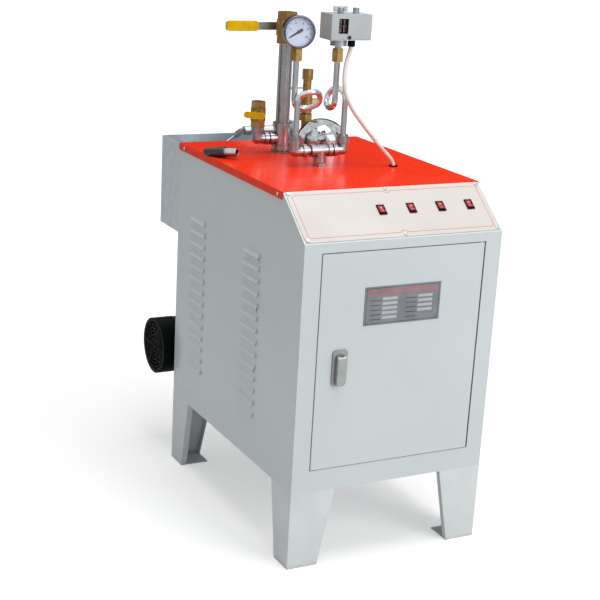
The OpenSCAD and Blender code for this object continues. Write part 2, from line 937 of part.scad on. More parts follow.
module switch_housings() color("black") placed() on_slope()
  for (i = [0 : switch_count - 1]) move([body_w - switch_x + i * switch_gap, switch_up, 0]) difference() {
    union() {
      box([-bezel_w / 2, -bezel_l / 2, console_t], [bezel_w / 2, bezel_l / 2, console_t + bezel_t]);
      box([bezel_lip - bezel_w / 2, bezel_lip - bezel_l / 2, -switch_deep],
        [bezel_w / 2 - bezel_lip, bezel_l / 2 - bezel_lip, console_t]);
    }
    box([bezel_wall - bezel_w / 2, bezel_wall - bezel_l / 2, console_t + bezel_t - pocket_deep],
      [bezel_w / 2 - bezel_wall, bezel_l / 2 - bezel_wall, console_t + bezel_t + cut]);
    move([-bezel_w / 2, 0, rocker_level]) rod_x(rocker_pin_d + 2 * running, bezel_w);
  }

// Rocker of the switch with the given number, pressed to its off side
module switch_rocker(i) color("dimgray") placed() on_slope()
  move([body_w - switch_x + i * switch_gap, switch_up, rocker_level]) rotate([-rocker_travel / 2, 0, 0]) {
    width = bezel_w - 2 * bezel_wall - 2 * rocker_gap;
    move([-width / 2, 0, 0]) along_x(width) polygon([[-rocker_half, rocker_top], [0, rocker_dip],
      [rocker_half, rocker_top], [rocker_half, rocker_edge], [rocker_foot, -rocker_drop],
      [-rocker_foot, -rocker_drop], [-rocker_half, rocker_edge]]);
    move([bezel_wall - rocker_pin_in - bezel_w / 2, 0, 0])
      rod_x(rocker_pin_d, bezel_w - 2 * bezel_wall + 2 * rocker_pin_in);
  }

module switch_rocker_1() switch_rocker(0);
module switch_rocker_2() switch_rocker(1);
module switch_rocker_3() switch_rocker(2);
module switch_rocker_4() switch_rocker(3);

module door_panel() color("whitesmoke") placed() difference() {
  box([door_x0, -door_proud, door_z0], [door_x1, door_fold - door_proud, door_z1]);
  box([door_x0 + sheet, sheet - door_proud, door_z0 + sheet],
    [door_x1 - sheet, door_fold, door_z1 - sheet]);
  move([hinge_x, hinge_set, door_z0 - cut])
    rod(hinge_d + 2 * running, door_z1 - door_z0 + 2 * cut);
  move([lock_x, -door_proud - cut, pivot_z]) rod_y(lock_barrel_d + 2 * play, sheet + 2 * cut);
}

module lock_housing() color("dimgray") placed() difference() {
  union() {
    move([lock_x - lock_w / 2, lock_face_y, lock_z - lock_h / 2])
      along_y(lock_t) round_rect(lock_w, lock_h, lock_corner_r);
    move([lock_x, -door_proud, pivot_z]) rod_y(lock_barrel_d, lock_barrel_len);
    move([lock_x, sheet - door_proud, pivot_z]) rotate([-90, 0, 0])
      hexagon(lock_barrel_d + lock_barrel_len / 2, lock_nut_t);
  }
  move([lock_x, lock_face_y - cut, pivot_z])
    rod_y(spindle_d + 2 * running, lock_t + lock_barrel_len + 2 * cut);
}

module lock_spindle() color("silver") placed() move([lock_x, 0, pivot_z]) {
  difference() {
    union() {
      move([0, lock_face_y, 0]) rod_y(spindle_d, cam_y - lock_face_y);
      box([-tongue_w / 2, pivot_y, -tongue_h / 2], [tongue_w / 2, lock_face_y, tongue_h / 2]);
      move([-tongue_w / 2, pivot_y, 0]) rod_x(tongue_h, tongue_w);
    }
    move([-tongue_w, pivot_y, 0]) rod_x(pivot_d + 2 * running, 2 * tongue_w);
  }
  box([-cam_w / 2, cam_y, -cam_w / 2],
    [cam_w / 2, cam_y + cam_t, lock_x - door_margin + cam_hold]);
}

module lock_handle() color("dimgray") placed() move([lock_x, pivot_y, pivot_z]) {
  slot_w = tongue_w + 2 * play;
  slot_in = tongue_h / 2 + play;
  difference() {
    union() {
      box([-handle_w / 2, -handle_t / 2, -handle_len], [handle_w / 2, handle_t / 2, 0]);
      move([-handle_w / 2, 0, 0]) rod_x(handle_t, handle_w);
    }
    box([-slot_w / 2, -slot_in, -slot_in], [slot_w / 2, handle_t, handle_t]);
  }
  move([-handle_w / 2, 0, 0]) rod_x(pivot_d, handle_w);
}

module rating_plate() color("silver") placed() move([body_w / 2, -door_proud - rating_t, rating_z]) {
  box([-rating_w / 2, 0, -rating_h / 2], [rating_w / 2, rating_t, rating_h / 2]);
  for (x = [-1, 1], z = [-1, 1])
    move([x * (rating_w / 2 - rivet_in), -rivet_t, z * (rating_h / 2 - rivet_in)])
      rod_y(rivet_d, rivet_t);
}

module water_tank() color("silver") placed() {
  difference() {
    box([tank_x, body_d, tank_z], [tank_x + tank_w, body_d + tank_d, tank_top]);
    box([tank_x + tank_wall, body_d + tank_wall, tank_z + tank_wall],
      [ear_x, body_d + tank_d - tank_wall, tank_top + cut]);
    move([feed_x, suction_y, tank_z - cut]) rod(pipe_d + 2 * play, tank_wall + 2 * cut);
  }
  difference() {
    box([ear_x, float_y - ear_w / 2, tank_top], [ear_x + tank_wall, float_y + ear_w / 2, tank_top + ear_h]);
    move([ear_x - cut, float_y, valve_axis_z]) rod_x(2 * inlet_r + 2 * running, tank_wall + 2 * cut);
  }
}

module float_valve() color("darkslategray") placed() move([0, float_y, valve_axis_z]) {
  body_x = ear_x - flange_len - float_body_len;
  move([body_x, 0, 0]) rod_x(float_body_d, float_body_len);
  move([ear_x - flange_len, 0, 0]) rod_x(flange_wide, flange_len);
  move([ear_x, 0, 0]) rod_x(2 * inlet_r, inlet_len);
  difference() {
    move([ear_x + tank_wall, 0, 0]) rotate([0, 90, 0]) hexagon(flange_wide, nut_t);
    move([ear_x, 0, 0]) rod_x(2 * inlet_r, inlet_len);
  }
  difference() {
    box([body_x - lug_len, -lug_t / 2, -lug_len / 2],
      [body_x, lug_t / 2, lug_len / 2]);
    move([pivot_x, -lug_t, 0]) rod_y(float_pin_d + 2 * running, 2 * lug_t);
  }
}

module float_arm() color("firebrick") placed() move([pivot_x, float_y, valve_axis_z])
  rotate([0, -float_droop, 0]) {
    fork_y = lug_t / 2 + play;
    fork_out = fork_y + float_fork_t;
    for (y = [-fork_out, fork_y]) {
      move([0, y, 0]) rod_y(lug_len, float_fork_t);
      box([-2 * lug_len, y, -lug_len / 2], [0, y + float_fork_t, lug_len / 2]);
    }
    box([-2 * lug_len, -fork_out, -lug_len / 2], [-1.5 * lug_len, fork_out, lug_len / 2]);
    move([0, -fork_out, 0]) rod_y(float_pin_d, 2 * fork_out);
    move([-float_len, 0, 0]) {
      rod_x(float_rod_d, float_len - 1.5 * lug_len);
      rotate([0, 0, 90]) sphere(d = float_d);
    }
  }

module pump_shelf() color("gainsboro") placed() {
  shelf_end = body_d + motor_back + shelf_past;
  web_end = motor_y - foot_wide / 2 - 2 * shelf_t;
  box([shelf_x, body_d, shelf_z - shelf_t], [shelf_x + shelf_w, shelf_end, shelf_z]);
  box([shelf_x, body_d, shelf_z - shelf_t], [shelf_x + shelf_w, body_d + shelf_t, shelf_z + shelf_up]);
  for (x = [shelf_x, shelf_x + shelf_w - shelf_t]) move([x, 0, 0]) along_x(shelf_t)
    polygon([[body_d, shelf_z], [web_end, shelf_z], [body_d, shelf_z + shelf_up]]);
}

module pump_head() color("goldenrod") placed() difference() {
  union() {
    move([pump_x, motor_y, motor_z]) rod_x(pump_d, pump_len);
    for (y = [feed_y, suction_y]) move([feed_x, y, motor_z]) rod(port_boss_d, pump_d / 2 + port_up);
  }
  move([pump_x + pump_wall, motor_y, motor_z])
    rod_x(pump_d - 2 * pump_wall, pump_len - 2 * pump_wall);
  move([pump_x - cut, motor_y, motor_z]) rod_x(shaft_d + 2 * running, pump_wall + 2 * cut);
  for (y = [feed_y, suction_y]) move([feed_x, y, motor_z]) {
    rod(pipe_bore, pump_d / 2 + port_up);
    move([0, 0, pump_d / 2 + port_up - seat]) rod(pipe_d + 2 * pipe_play, seat + cut);
  }
}

module motor_housing() color("steelblue") placed() move([pump_x - motor_len, motor_y, motor_z]) {
  difference() {
    union() {
      rod_x(housing_d, motor_len);
      for (x = [0, motor_len - rib_t]) move([x, 0, 0]) rod_x(motor_d, rib_t);
      for (i = [0 : rib_count - 1]) rotate([360 / rib_count * i, 0, 0])
        box([0, 0, -rib_t / 2], [motor_len, housing_d / 2 + rib_out, rib_t / 2]);
      box([foot_at, -foot_wide / 2, shelf_z - motor_z],
        [foot_at + foot_len, foot_wide / 2, 0]);
      box([foot_at, -tbox_w / 2, 0],
        [foot_at + tbox_len, tbox_w / 2, motor_d / 2 + tbox_up]);
    }
    move([end_t, 0, 0]) rod_x(stator_bore, motor_len - 2 * end_t);
    bore_x(shaft_d + 2 * running, motor_len);
  }
}

module fan_cover() color("steelblue") placed() move([-motor_out, motor_y, motor_z]) {
  difference() {
    rod_x(motor_d, cowl_len);
    move([fan_wall, 0, 0]) rod_x(motor_d - 2 * fan_wall, cowl_len);
    move([-cut, 0, 0]) rod_x(motor_d - bar_edge, cowl_len);
  }
  for (i = [1 : ring_count]) difference() {
    ring_d = (motor_d - bar_edge) * i / (ring_count + 0.5);
    rod_x(ring_d, fan_wall);
    bore_x(ring_d - 2 * bar_w, fan_wall);
  }
  for (i = [0 : bar_count - 1]) rotate([180 / bar_count * i, 0, 0])
    box([0, -(motor_d - bar_edge) / 2 - fan_wall, -bar_w / 2],
      [fan_wall, (motor_d - bar_edge) / 2 + fan_wall, bar_w / 2]);
}

// Vanes round X between two radii, w to each side of their middle
module vanes(low, high, t, w) for (i = [0 : vane_count - 1])
  rotate([360 / vane_count * (i + 0.5) - 90, 0, 0]) box([0, low, -w], [t, high, w]);

module pump_rotor() color("silver") placed() move([-motor_out, motor_y, motor_z]) {
  fan_x = cowl_len / 2 - fan_t;
  move([fan_x, 0, 0]) {
    rod_x(shaft_d, cowl_len - fan_x + motor_len + pump_wall + impeller_gap + impeller_t);
    rod_x(2 * shaft_d, fan_t);
    move([fan_t - fan_wall, 0, 0]) rod_x(fan_d, fan_wall);
    vanes(shaft_d * 3 / 4, fan_d / 2 - fan_wall, fan_t, fan_wall / 2);
  }
  move([cowl_len + (motor_len - rotor_len) / 2, 0, 0]) rod_x(rotor_d, rotor_len);
  move([cowl_len + motor_len + pump_wall + impeller_gap, 0, 0]) {
    rod_x(impeller_d, impeller_t / 2);
    vanes(shaft_d / 4, impeller_d / 2 - fan_wall, impeller_t, fan_wall);
  }
}

// Upright piece of hollow pipe between two levels
module pipe_up(at, low, high) move([at.x, at.y, low]) difference() {
  rod(pipe_d, high - low);
  bore(pipe_bore, high - low);
}

module feed_piping() color("goldenrod") placed() {
  port_top = motor_z + pump_d / 2 + port_up;
  check_low = port_top + check_gap;
  end_y = feed_socket_y - seat;
  run = feed_y - reach + seat - end_y;
  pipe_up([feed_x, feed_y], port_top - seat, check_low);
  move([feed_x, feed_y, check_low]) difference() {
    union() {
      hexagon(check_af, check_len / 3);
      rod(check_af - 2 * play, check_len);
      move([0, 0, check_len * 2 / 3]) hexagon(check_af, check_len / 3);
    }
    bore(pipe_bore, check_len);
  }
  pipe_up([feed_x, feed_y], check_low + check_len, feed_z - reach + seat);
  move([feed_x, feed_y, feed_z]) rotate([180, 0, -90]) elbow(pipe_d + 2 * pipe_play, pipe_bore);
  move([feed_x, end_y, feed_z]) difference() {
    rod_y(pipe_d, run);
    move([0, -cut, 0]) rod_y(pipe_bore, run + 2 * cut);
  }
  pipe_up([feed_x, suction_y], port_top - seat, tank_z + tank_wall + 2 * nut_t);
  for (z = [tank_z - nut_t, tank_z + tank_wall]) move([feed_x, suction_y, z]) nut(nut_af, nut_t, pipe_d);
}

// Outline of a closed vessel with dished ends: its half as a polygon round Z
module vessel(d, low, high, rise) {
  steps = [0 : 7.5 : 90];
  rotate_extrude() polygon(concat(
    [for (a = steps) [d / 2 * sin(a), low + rise * (1 - cos(a))]],
    [for (a = steps) [d / 2 * cos(a), high - rise * (1 - sin(a))]]));
}

module boiler_drum() color("darkgray") placed() {
  shell_low = drum_z + drum_wall;
  shell_high = drum_top - drum_wall;
  socket_low = drum_top - head_h;
  flange_d = heater_neck_d + 2 * flange_out;
  difference() {
    union() {
      move([drum_x, drum_y, 0]) {
        vessel(drum_d, drum_z, drum_top, head_h);
        for (i = [0 : 2]) rotate([0, 0, 120 * i])
          move([0, foot_share * drum_d / 2, pan_top]) rod(drum_foot_d, drum_lift + head_h);
        move([0, 0, drum_z - socket_rise]) rod(socket_d, 2 * socket_rise);
        move([0, heater_y - drum_y, drum_z + heater_z]) {
          rod_y(heater_neck_d, drum_y - heater_y);
          rod_y(flange_d, flange_out);
        }
      }
      for (at = top_sockets) move([at.x, at.y, socket_low])
        rod(at.x == riser_x ? riser_d + socket_d - pipe_d : socket_d, socket_top - socket_low);
      move([dome_x, dome_y, socket_low]) rod(neck_d, body_h + neck_above - socket_low);
      move([feed_x, drum_y, feed_z]) rod_y(socket_d, feed_socket_y - drum_y);
    }
    move([drum_x, drum_y, 0]) {
      vessel(drum_d - 2 * drum_wall, shell_low, shell_high, head_h - drum_wall);
      move([0, 0, drum_z - socket_rise - cut]) rod(pipe_bore, 2 * socket_rise + cut);
      move([0, 0, drum_z - socket_rise - cut]) rod(pipe_d + 2 * pipe_play, seat + cut);
      move([0, heater_y - drum_y - cut, drum_z + heater_z])
        rod_y(heater_neck_d - 2 * neck_wall, drum_y - heater_y);
    }
    for (at = top_sockets) move([at.x, at.y, socket_low]) {
      rod(pipe_bore, socket_top - socket_low);
      move([0, 0, socket_top - socket_low - seat])
        rod((at.x == riser_x ? riser_d : pipe_d) + 2 * pipe_play, seat + cut);
    }
    move([dome_x, dome_y, socket_low])
      rod(neck_d - 2 * neck_wall, body_h + neck_above - neck_wall - socket_low);
    move([feed_x, drum_y, feed_z]) rod_y(pipe_bore, feed_socket_y - drum_y);
    move([feed_x, feed_socket_y - seat, feed_z])
      rod_y(pipe_d + 2 * pipe_play, seat + cut);
  }
}

module heater_bundle() color("silver") placed() move([drum_x, heater_y, drum_z + heater_z]) {
  flange_d = heater_neck_d + 2 * flange_out;
  rod_reach = heater_len - rod_gap / 2;
  move([0, -flange_t, 0]) rod_y(flange_d, flange_t);
  for (i = [0 : bolt_count - 1]) rotate([0, 360 / bolt_count * i, 0])
    move([flange_d / 2 - bolt_d, -flange_t - bolt_t, 0]) rod_y(bolt_d, bolt_t);
  for (row = [-1 : 1]) move([0, 0, row * heater_row]) {
    for (side = [-1, 1]) move([side * rod_gap / 2, 0, 0]) {
      rod_y(heat_rod_d, rod_reach);
      move([0, -flange_t - stud_len, 0]) rod_y(stud_d, stud_len);
    }
    move([0, rod_reach, 0]) rotate_extrude(angle = 180)
      move([rod_gap / 2, 0]) circle(d = heat_rod_d);
  }
}

module inspection_dome() color("silver") placed() move([dome_x, dome_y, body_h]) {
  inner_d = dome_d - 2 * dome_wall;
  steps = [0 : 9 : 90];
  rotate_extrude() polygon(concat(
    [for (a = steps) [dome_d / 2 * cos(a), dome_skirt + dome_rise * sin(a)]],
    [for (a = steps) [inner_d / 2 * sin(a), dome_skirt + (dome_rise - dome_wall) * cos(a)]],
    [[inner_d / 2, 0], [dome_d / 2, 0]]));
}

module electrics_plate() color("silver") placed() {
  box([gear_x, gear_y, pan_top], [body_w - gear_x, gear_y + leg_sheet, gear_top]);
  box([gear_x, gear_y, pan_top], [body_w - gear_x, gear_y + gear_foot, pan_top + leg_sheet]);
}

module contactors() color("darkslategray") placed() {
  for (i = [0 : contactor_count - 1]) move([contactor_x + i * contactor_pitch, gear_y, contactor_z])
    box([0, -contactor.y, 0], [contactor.x, 0, contactor.z]);
  for (i = [0 : breaker_count - 1]) move([breaker_x + i * breaker.x, gear_y, contactor_z])
    box([-breaker.x, -breaker.y, 0], [0, 0, breaker.z]);
  box([(body_w - terminal.x) / 2, gear_y - terminal.y, terminal_z],
    [(body_w + terminal.x) / 2, gear_y, terminal_z + terminal.z]);
}

// Short horizontal nipple between two fittings on one axis
module nipple_x(x0, x1, y) move([x0 - seat, y, axis_z]) difference() {
  rod_x(pipe_d, x1 - x0 + 2 * seat);
  bore_x(pipe_bore, x1 - x0 + 2 * seat);
}

// One arm of a fitting: barrel and collar along Z
module fitting_arm() {
  rod(barrel_d, reach);
  move([0, 0, reach - collar_len]) rod(collar_d, collar_len);
}

// Bores of one arm of a fitting, for a pipe of the given diameter
module fitting_bore(d, through) {
  rod(through, reach);
  move([0, 0, reach - seat]) rod(d, seat + cut);
}

// Elbow with one arm up and one arm along X, for the given tube in its upper arm
module elbow(d, through) difference() {
  union() {
    fitting_arm();
    rotate([0, 90, 0]) fitting_arm();
    sphere(d = barrel_d);
  }
  fitting_bore(d, through);
  rotate([0, 90, 0]) fitting_bore(pipe_d + 2 * pipe_play, pipe_bore);
}

// Elbow with the nut that holds a siphon tube
module siphon_elbow() {
  elbow(siphon_d + 2 * pipe_play, siphon_d - 2 * gauge_wall);
  move([0, 0, reach]) difference() {
    rod(barrel_d, nut_t);
    bore(siphon_d + 2 * pipe_play, nut_t);
  }
}

module front_manifold() color("goldenrod") placed() {
  pipe_up([front_x, front_y], socket_top - seat, axis_z - reach + seat);
  move([front_x, front_y, body_h]) nut(nut_af, nut_t, pipe_d);
  move([front_x, front_y, axis_z]) difference() {
    union() for (turn = [90, -90, 180]) rotate([0, turn, 0]) fitting_arm();
    for (turn = [90, -90, 180]) rotate([0, turn, 0]) fitting_bore(pipe_d + 2 * pipe_play, pipe_bore);
  }
  nipple_x(gauge_x + reach, front_x - reach, front_y);
  nipple_x(front_x + reach, control_x - reach, front_y);
  move([gauge_x, front_y, axis_z]) siphon_elbow();
  move([control_x, front_y, axis_z]) mirror([1, 0, 0]) siphon_elbow();
}

module gauge_siphon() color("goldenrod") placed()
  swept_tube(gauge_route, siphon_d, siphon_sides, unit([0.2, 1, 0.1]));

module control_siphon() color("goldenrod") placed()
  swept_tube(control_route, siphon_d, siphon_sides, unit([1, 0.2, 0.1]));

module siphon_unions() color("goldenrod") placed() {
  low = body_h + siphon_top - union_deep;
  for (at = [[gauge_x, gauge_top_y, low], [stem_x, front_y, low]]) move(at) difference() {
    union() {
      hexagon(union_af, union_h);
      rod(union_af, union_h);
    }
    move([0, 0, -cut]) rod(siphon_d + 2 * pipe_play, union_deep + cut);
    rod(siphon_d - 2 * gauge_wall, union_h + cut);
  }
}

// Stands a piece of the gauge on its stem, its face towards the viewer along Z
module at_gauge() move([gauge_x, gauge_top_y, gauge_z]) rotate([90, 0, gauge_turn]) children();

module gauge_case() color("darkslategray") placed() at_gauge() {
  glass_back = gauge_t - gauge_set - glass_front - glass_t;
  ledge_d = gauge_d - 2 * gauge_wall - 2 * gauge_ledge;
  difference() {
    union() {
      move([0, 0, -gauge_set]) rod(gauge_d, gauge_t);
      rotate([90, 0, 0]) rod(neck_tube_d, gauge_d / 2 + play);
    }
    move([0, 0, gauge_wall - gauge_set]) rod(ledge_d, gauge_t);
    move([0, 0, dial_level]) rod(gauge_d - 2 * gauge_wall, glass_back + glass_t - dial_level);
    move([0, 0, glass_back]) rod(dial_d, gauge_t);
  }
  move([0, 0, gauge_wall - gauge_set]) difference() {
    rod(hub_d, gauge_set);
    rod(arbor_d + 2 * running, gauge_set + cut);
  }
}

module gauge_dial() color("white") placed() at_gauge() move([0, 0, dial_level]) {
  rim_h = gauge_t - gauge_set - glass_front - glass_t - dial_level;
  difference() {
    rod(gauge_d - 2 * gauge_wall - 2 * running, rim_h);
    move([0, 0, dial_t]) rod(dial_d, rim_h);
    bore(arbor_d + 2 * play, dial_t);
  }
}

module gauge_glass() color("lightblue") placed() at_gauge()
  move([0, 0, gauge_t - gauge_set - glass_front - glass_t])
    rod(gauge_d - 2 * gauge_wall - 2 * running, glass_t);

module gauge_needle() color("black") placed() at_gauge() {
  level = dial_level + dial_t + play;
  rotate([0, 0, needle_zero]) move([0, 0, level]) linear_extrude(needle_t)
    polygon([[-needle_tail, -needle_w / 2], [needle_len, -needle_w / 6], [needle_len, needle_w / 6],
      [-needle_tail, needle_w / 2]]);
  move([0, 0, level]) rod(hub_d, 2 * needle_t);
  move([0, 0, gauge_wall + play - gauge_set]) rod(arbor_d, gauge_set + level);
}

module control_base() color("silver") placed() {
  x1 = box_x + box_w;
  y1 = box_y + box_d;
  scale_y = box_y + box_t + scale_back;
  window_x0 = box_x + window_x;
  difference() {
    union() {
      move([stem_x, port_y, port_z]) {
        rod(neck_tube_d, port_neck_h);
        move([0, 0, port_neck_h]) for (i = [0 : bellows_folds - 1])
          move([0, 0, i * bellows_h / bellows_folds]) {
            rod(bellows_d - bellows_dip, bellows_h / bellows_folds);
            rod(bellows_d, bellows_h / bellows_folds / 2);
          }
      }
      box([box_x, box_y, box_z], [x1, y1, box_z + box_t]);
      box([box_x, y1 - box_t, box_z], [x1, y1, box_z + box_h]);
      box([stem_x - stay_w / 2, port_y - stay_w / 2, box_z + stay_up],
        [stem_x + stay_w / 2, y1, box_z + stay_up + stay_t]);
      box([window_x0 - scale_t, scale_y, box_z],
        [window_x0 + window_w + scale_t, scale_y + scale_t, box_z + box_h - 2 * box_t]);
    }
    move([stem_x, port_y, port_z - cut]) rod(neck_tube_d / 2, port_neck_h + bellows_h / 2);
    move([stem_x, port_y, box_z + stay_up - cut])
      rod(range_rod_d + 2 * running, stay_t + 2 * cut);
    box([stem_x - wing_t / 2, scale_y - cut, box_z + stay_up],
      [stem_x + wing_t / 2, scale_y + scale_t + cut, box_z + box_h - box_t - wing_t]);
    move([stem_x + gland_gap, gland_y, box_z - cut])
      rod(gland_d - gland_step, box_t + 2 * cut);
  }
}

module control_housing() color("gray") placed() {
  y1 = box_y + box_d - box_t - play;
  low = box_z + box_t + play;
  high = box_z + box_h;
  window_x0 = box_x + window_x;
  difference() {
    box([box_x, box_y, low], [box_x + box_w, y1, high]);
    box([box_x + box_t, box_y + box_t, low - cut],
      [box_x + box_w - box_t, y1 + cut, high - box_t]);
    box([window_x0, box_y - cut, high - window_down - window_h],
      [window_x0 + window_w, box_y + box_t + cut, high - window_down]);
    for (x = [stem_x, stem_x + diff_gap]) move([x, port_y, low])
      rod(range_rod_d + 2 * running, box_h + cut);
  }
  move([box_x + box_w * label_share, box_y - screw_head_t, low + screw_head_d / 2])
    rod_y(screw_head_d, screw_head_t);
}

module range_screw() color("silver") placed()
  move([stem_x, port_y, box_z + box_h + play]) {
    rod(2 * range_rod_d, knob_neck);
    move([0, 0, knob_neck]) {
      rod(knob_d, knob_h);
      box([-wing_w / 2, -wing_t / 2, 0], [wing_w / 2, wing_t / 2, knob_h + wing_up]);
    }
    move([0, 0, -rod_len]) rod(range_rod_d, rod_len);
  }

module range_pointer() color("orangered") placed()
  move([stem_x, port_y, box_z + box_h - pointer_drop - pointer_h]) {
    tip_y = box_y + box_t + play - port_y;
    difference() {
      box([-pointer_w / 2, -pointer_w / 2, 0], [pointer_w / 2, pointer_w / 2, pointer_h]);
      bore(range_rod_d + 2 * running, pointer_h);
    }
    box([play - wing_t / 2, tip_y, 0], [wing_t / 2 - play, -pointer_w / 2, pointer_h / 2]);
    box([-pointer_w / 2, tip_y, 0], [pointer_w / 2, tip_y + scale_t, pointer_h / 2]);
  }

module diff_screw() color("silver") placed()
  move([stem_x + diff_gap, port_y, box_z + box_h + play]) {
    difference() {
      rod(diff_knob_d, diff_knob_h);
      box([-diff_knob_d, -scale_t, diff_knob_h - scale_t], [diff_knob_d, scale_t, diff_knob_h + cut]);
    }
    move([0, 0, -diff_knob_h]) rod(range_rod_d, diff_knob_h);
  }

module cable_glands() color("dimgray") placed() {
  cable_bore = cable_d + 2 * play;
  move([stem_x + gland_gap, gland_y, box_z]) difference() {
    union() {
      move([0, 0, -gland_h]) hexagon(gland_d, gland_h);
      rod(gland_d - gland_step - 2 * running, box_t + gland_nut_t);
      move([0, 0, box_t]) hexagon(gland_d, gland_nut_t);
    }
    move([0, 0, -gland_h - cut]) rod(cable_bore, gland_h + box_t + gland_nut_t + 2 * cut);
  }
  move([grommet_x, grommet_y, body_h]) difference() {
    union() {
      rod(grommet_d, grommet_h);
      move([0, 0, -sheet - grommet_h]) rod(grommet_d - 2 * waist_in - 2 * running, sheet + grommet_h);
      move([0, 0, -sheet - grommet_h]) rod(grommet_d, grommet_h);
    }
    move([0, 0, -sheet - grommet_h - cut])
      rod(cable_d + 2 * grommet_slack, sheet + 2 * grommet_h + 2 * cut);
  }
  move([mains_x, body_d, mains_z]) difference() {
    union() {
      rotate([-90, 0, 0]) hexagon(mains_d, mains_out);
      move([0, -sheet, 0]) rod_y(mains_d - 2 * gland_step - 2 * running, sheet);
      move([0, -sheet - gland_nut_t, 0]) rotate([-90, 0, 0]) hexagon(mains_d, gland_nut_t);
    }
    move([0, -sheet - gland_nut_t - cut, 0])
      rod_y(2 * mains_bore_r, mains_out + sheet + gland_nut_t + 2 * cut);
  }
}

module control_cable() color("whitesmoke") placed()
  swept_tube(cable_route, cable_d, cable_sides, unit([0.2, 1, 0.1]));

module rear_manifold() color("goldenrod") placed() {
  tee_low = axis_z - reach;
  tee_high = tee_low + 2 * reducer_h;
  valve_low = body_h + steam_valve_z;
  move([riser_x, riser_y, 0]) {
    move([0, 0, tee_low]) difference() {
      union() {
        rod(reducer_d, 2 * reducer_h);
        for (z = [0, 2 * reducer_h - collar_len]) move([0, 0, z])
          rod(reducer_d + collar_d - barrel_d, collar_len);
        tee_branch(0) rod(barrel_d, side_reach);
        tee_branch(side_reach - collar_len)
          rod(collar_d, collar_len);
      }
      bore(reducer_bore, 2 * reducer_h);
      move([0, 0, -cut]) rod(riser_d + 2 * pipe_play, reducer_deep + cut);
      move([0, 0, 2 * reducer_h - reducer_deep]) rod(riser_d + 2 * pipe_play, reducer_deep + cut);
      tee_branch(0) rod(pipe_bore, side_reach + cut);
      tee_branch(side_reach - seat)
        rod(pipe_d + 2 * pipe_play, seat + cut);
    }
    riser_piece(socket_top - seat, tee_low + reducer_deep);
    riser_piece(tee_high - reducer_deep, valve_low + riser_in);
    move([0, 0, body_h]) difference() {
      rod(riser_d + 2 * hole_play + 2 * bush_t, bush_t);
      bore(riser_d, bush_t);
    }
  }
  nipple_x(riser_x - side_arm + reach, riser_x - side_reach, riser_y);
  move([riser_x - side_arm, riser_y, axis_z]) elbow(pipe_d + 2 * pipe_play, pipe_bore);
  pipe_up([riser_x - side_arm, riser_y], axis_z + reach - seat, side_valve_low() + valve_in);
}

// The riser tee's branch along negative X, the given way out
module tee_branch(out) move([-out, 0, reach]) rotate([0, -90, 0]) children();

// Level of the side valve's lower face
function side_valve_low() = axis_z + reach + play;

// Piece of the riser between two levels
module riser_piece(low, high) move([0, 0, low]) difference() {
  rod(riser_d, high - low);
  bore(reducer_bore, high - low);
}

// Ball valve body along Z from zero, its stem along Y
module valve_body(len, hex, round_d, inlet_d, inlet_deep, outlet_d) difference() {
  union() {
    hexagon(hex, len * end_share);
    move([0, 0, len * (1 - end_share)]) hexagon(hex, len * end_share);
    move([0, 0, len * end_share / 2]) rod(min(round_d, hex), len * (1 - end_share));
    move([0, 0, len * end_share]) rod(round_d, len * (1 - 2 * end_share));
    move([0, 0, len / 2]) rod_y(2 * stem_share * round_d + 2 * boss_out, round_d / 2 + boss_out);
  }
  move([0, 0, -cut]) rod(inlet_d + 2 * pipe_play, inlet_deep + cut);
  rod(flow_share * round_d, len);
  move([0, 0, len - inlet_deep]) rod(outlet_d, inlet_deep + cut);
  move([0, 0, len / 2]) {
    sphere(d = ball_share * round_d + 2 * play);
    rod_y(stem_share * round_d + 2 * running, round_d / 2 + boss_out + cut);
  }
}

// Ball and stem of a closed ball valve, its centre at zero and its stem along Y
module valve_stem(round_d, stem_len) {
  rotate([0, 90, 0]) difference() {
    sphere(d = ball_share * round_d);
    move([0, 0, -round_d]) rod(flow_share * round_d, 2 * round_d);
  }
  move([0, ball_share * round_d / 2 - running - boss_out / 2, 0])
    rod_y(stem_share * round_d, stem_len - ball_share * round_d / 2 + running + boss_out / 2);
}

// How far a ball valve's lever lies from the middle of the valve
function lever_at(round_d) = round_d / 2 + boss_out + play;

// Flat lever along negative X with its eye at zero
module flat_lever(len, w, eye_d, hole_d) along_y(lever_t) difference() {
  union() {
    circle(d = eye_d);
    move([-len, -w / 2]) square([len, w]);
  }
  circle(d = hole_d);
}

module steam_valve_body() color("goldenrod") placed()
  move([riser_x, riser_y, body_h + steam_valve_z])
    valve_body(steam_valve_len, steam_hex, steam_round, riser_d, riser_in, 2 * steam_thread_r);

// The main valve's middle
module at_steam_valve() move([riser_x, riser_y, body_h + steam_valve_z + steam_valve_len / 2]) children();

module steam_valve_stem() color("silver") placed() at_steam_valve() {
  valve_stem(steam_round, lever_at(steam_round) + lever_t);
  move([0, lever_at(steam_round) + lever_t, 0]) rotate([-90, 0, 0])
    hexagon(1.5 * stem_share * steam_round, lever_nut_t);
}

module steam_lever() color("silver") placed() at_steam_valve() move([0, lever_at(steam_round), 0])
  flat_lever(lever_len - play, lever_w, lever_w + lever_nut_t, stem_share * steam_round);

module lever_grip() color("gold") placed() at_steam_valve() move([-lever_len, lever_at(steam_round), 0])
  difference() {
    move([0, lever_t / 2 - grip_t / 2, -grip_w / 2]) along_y(grip_t)
      round_rect(grip_len, grip_w, grip_corner_r);
    box([play, 0, -lever_w / 2], [grip_len + cut, lever_t, lever_w / 2]);
  }

module side_valve_body() color("goldenrod") placed()
  move([riser_x - side_arm, riser_y, side_valve_low()]) rotate([0, 0, side_turn])
    valve_body(side_valve_len, side_hex, side_round, pipe_d, valve_in, 2 * side_thread_r);

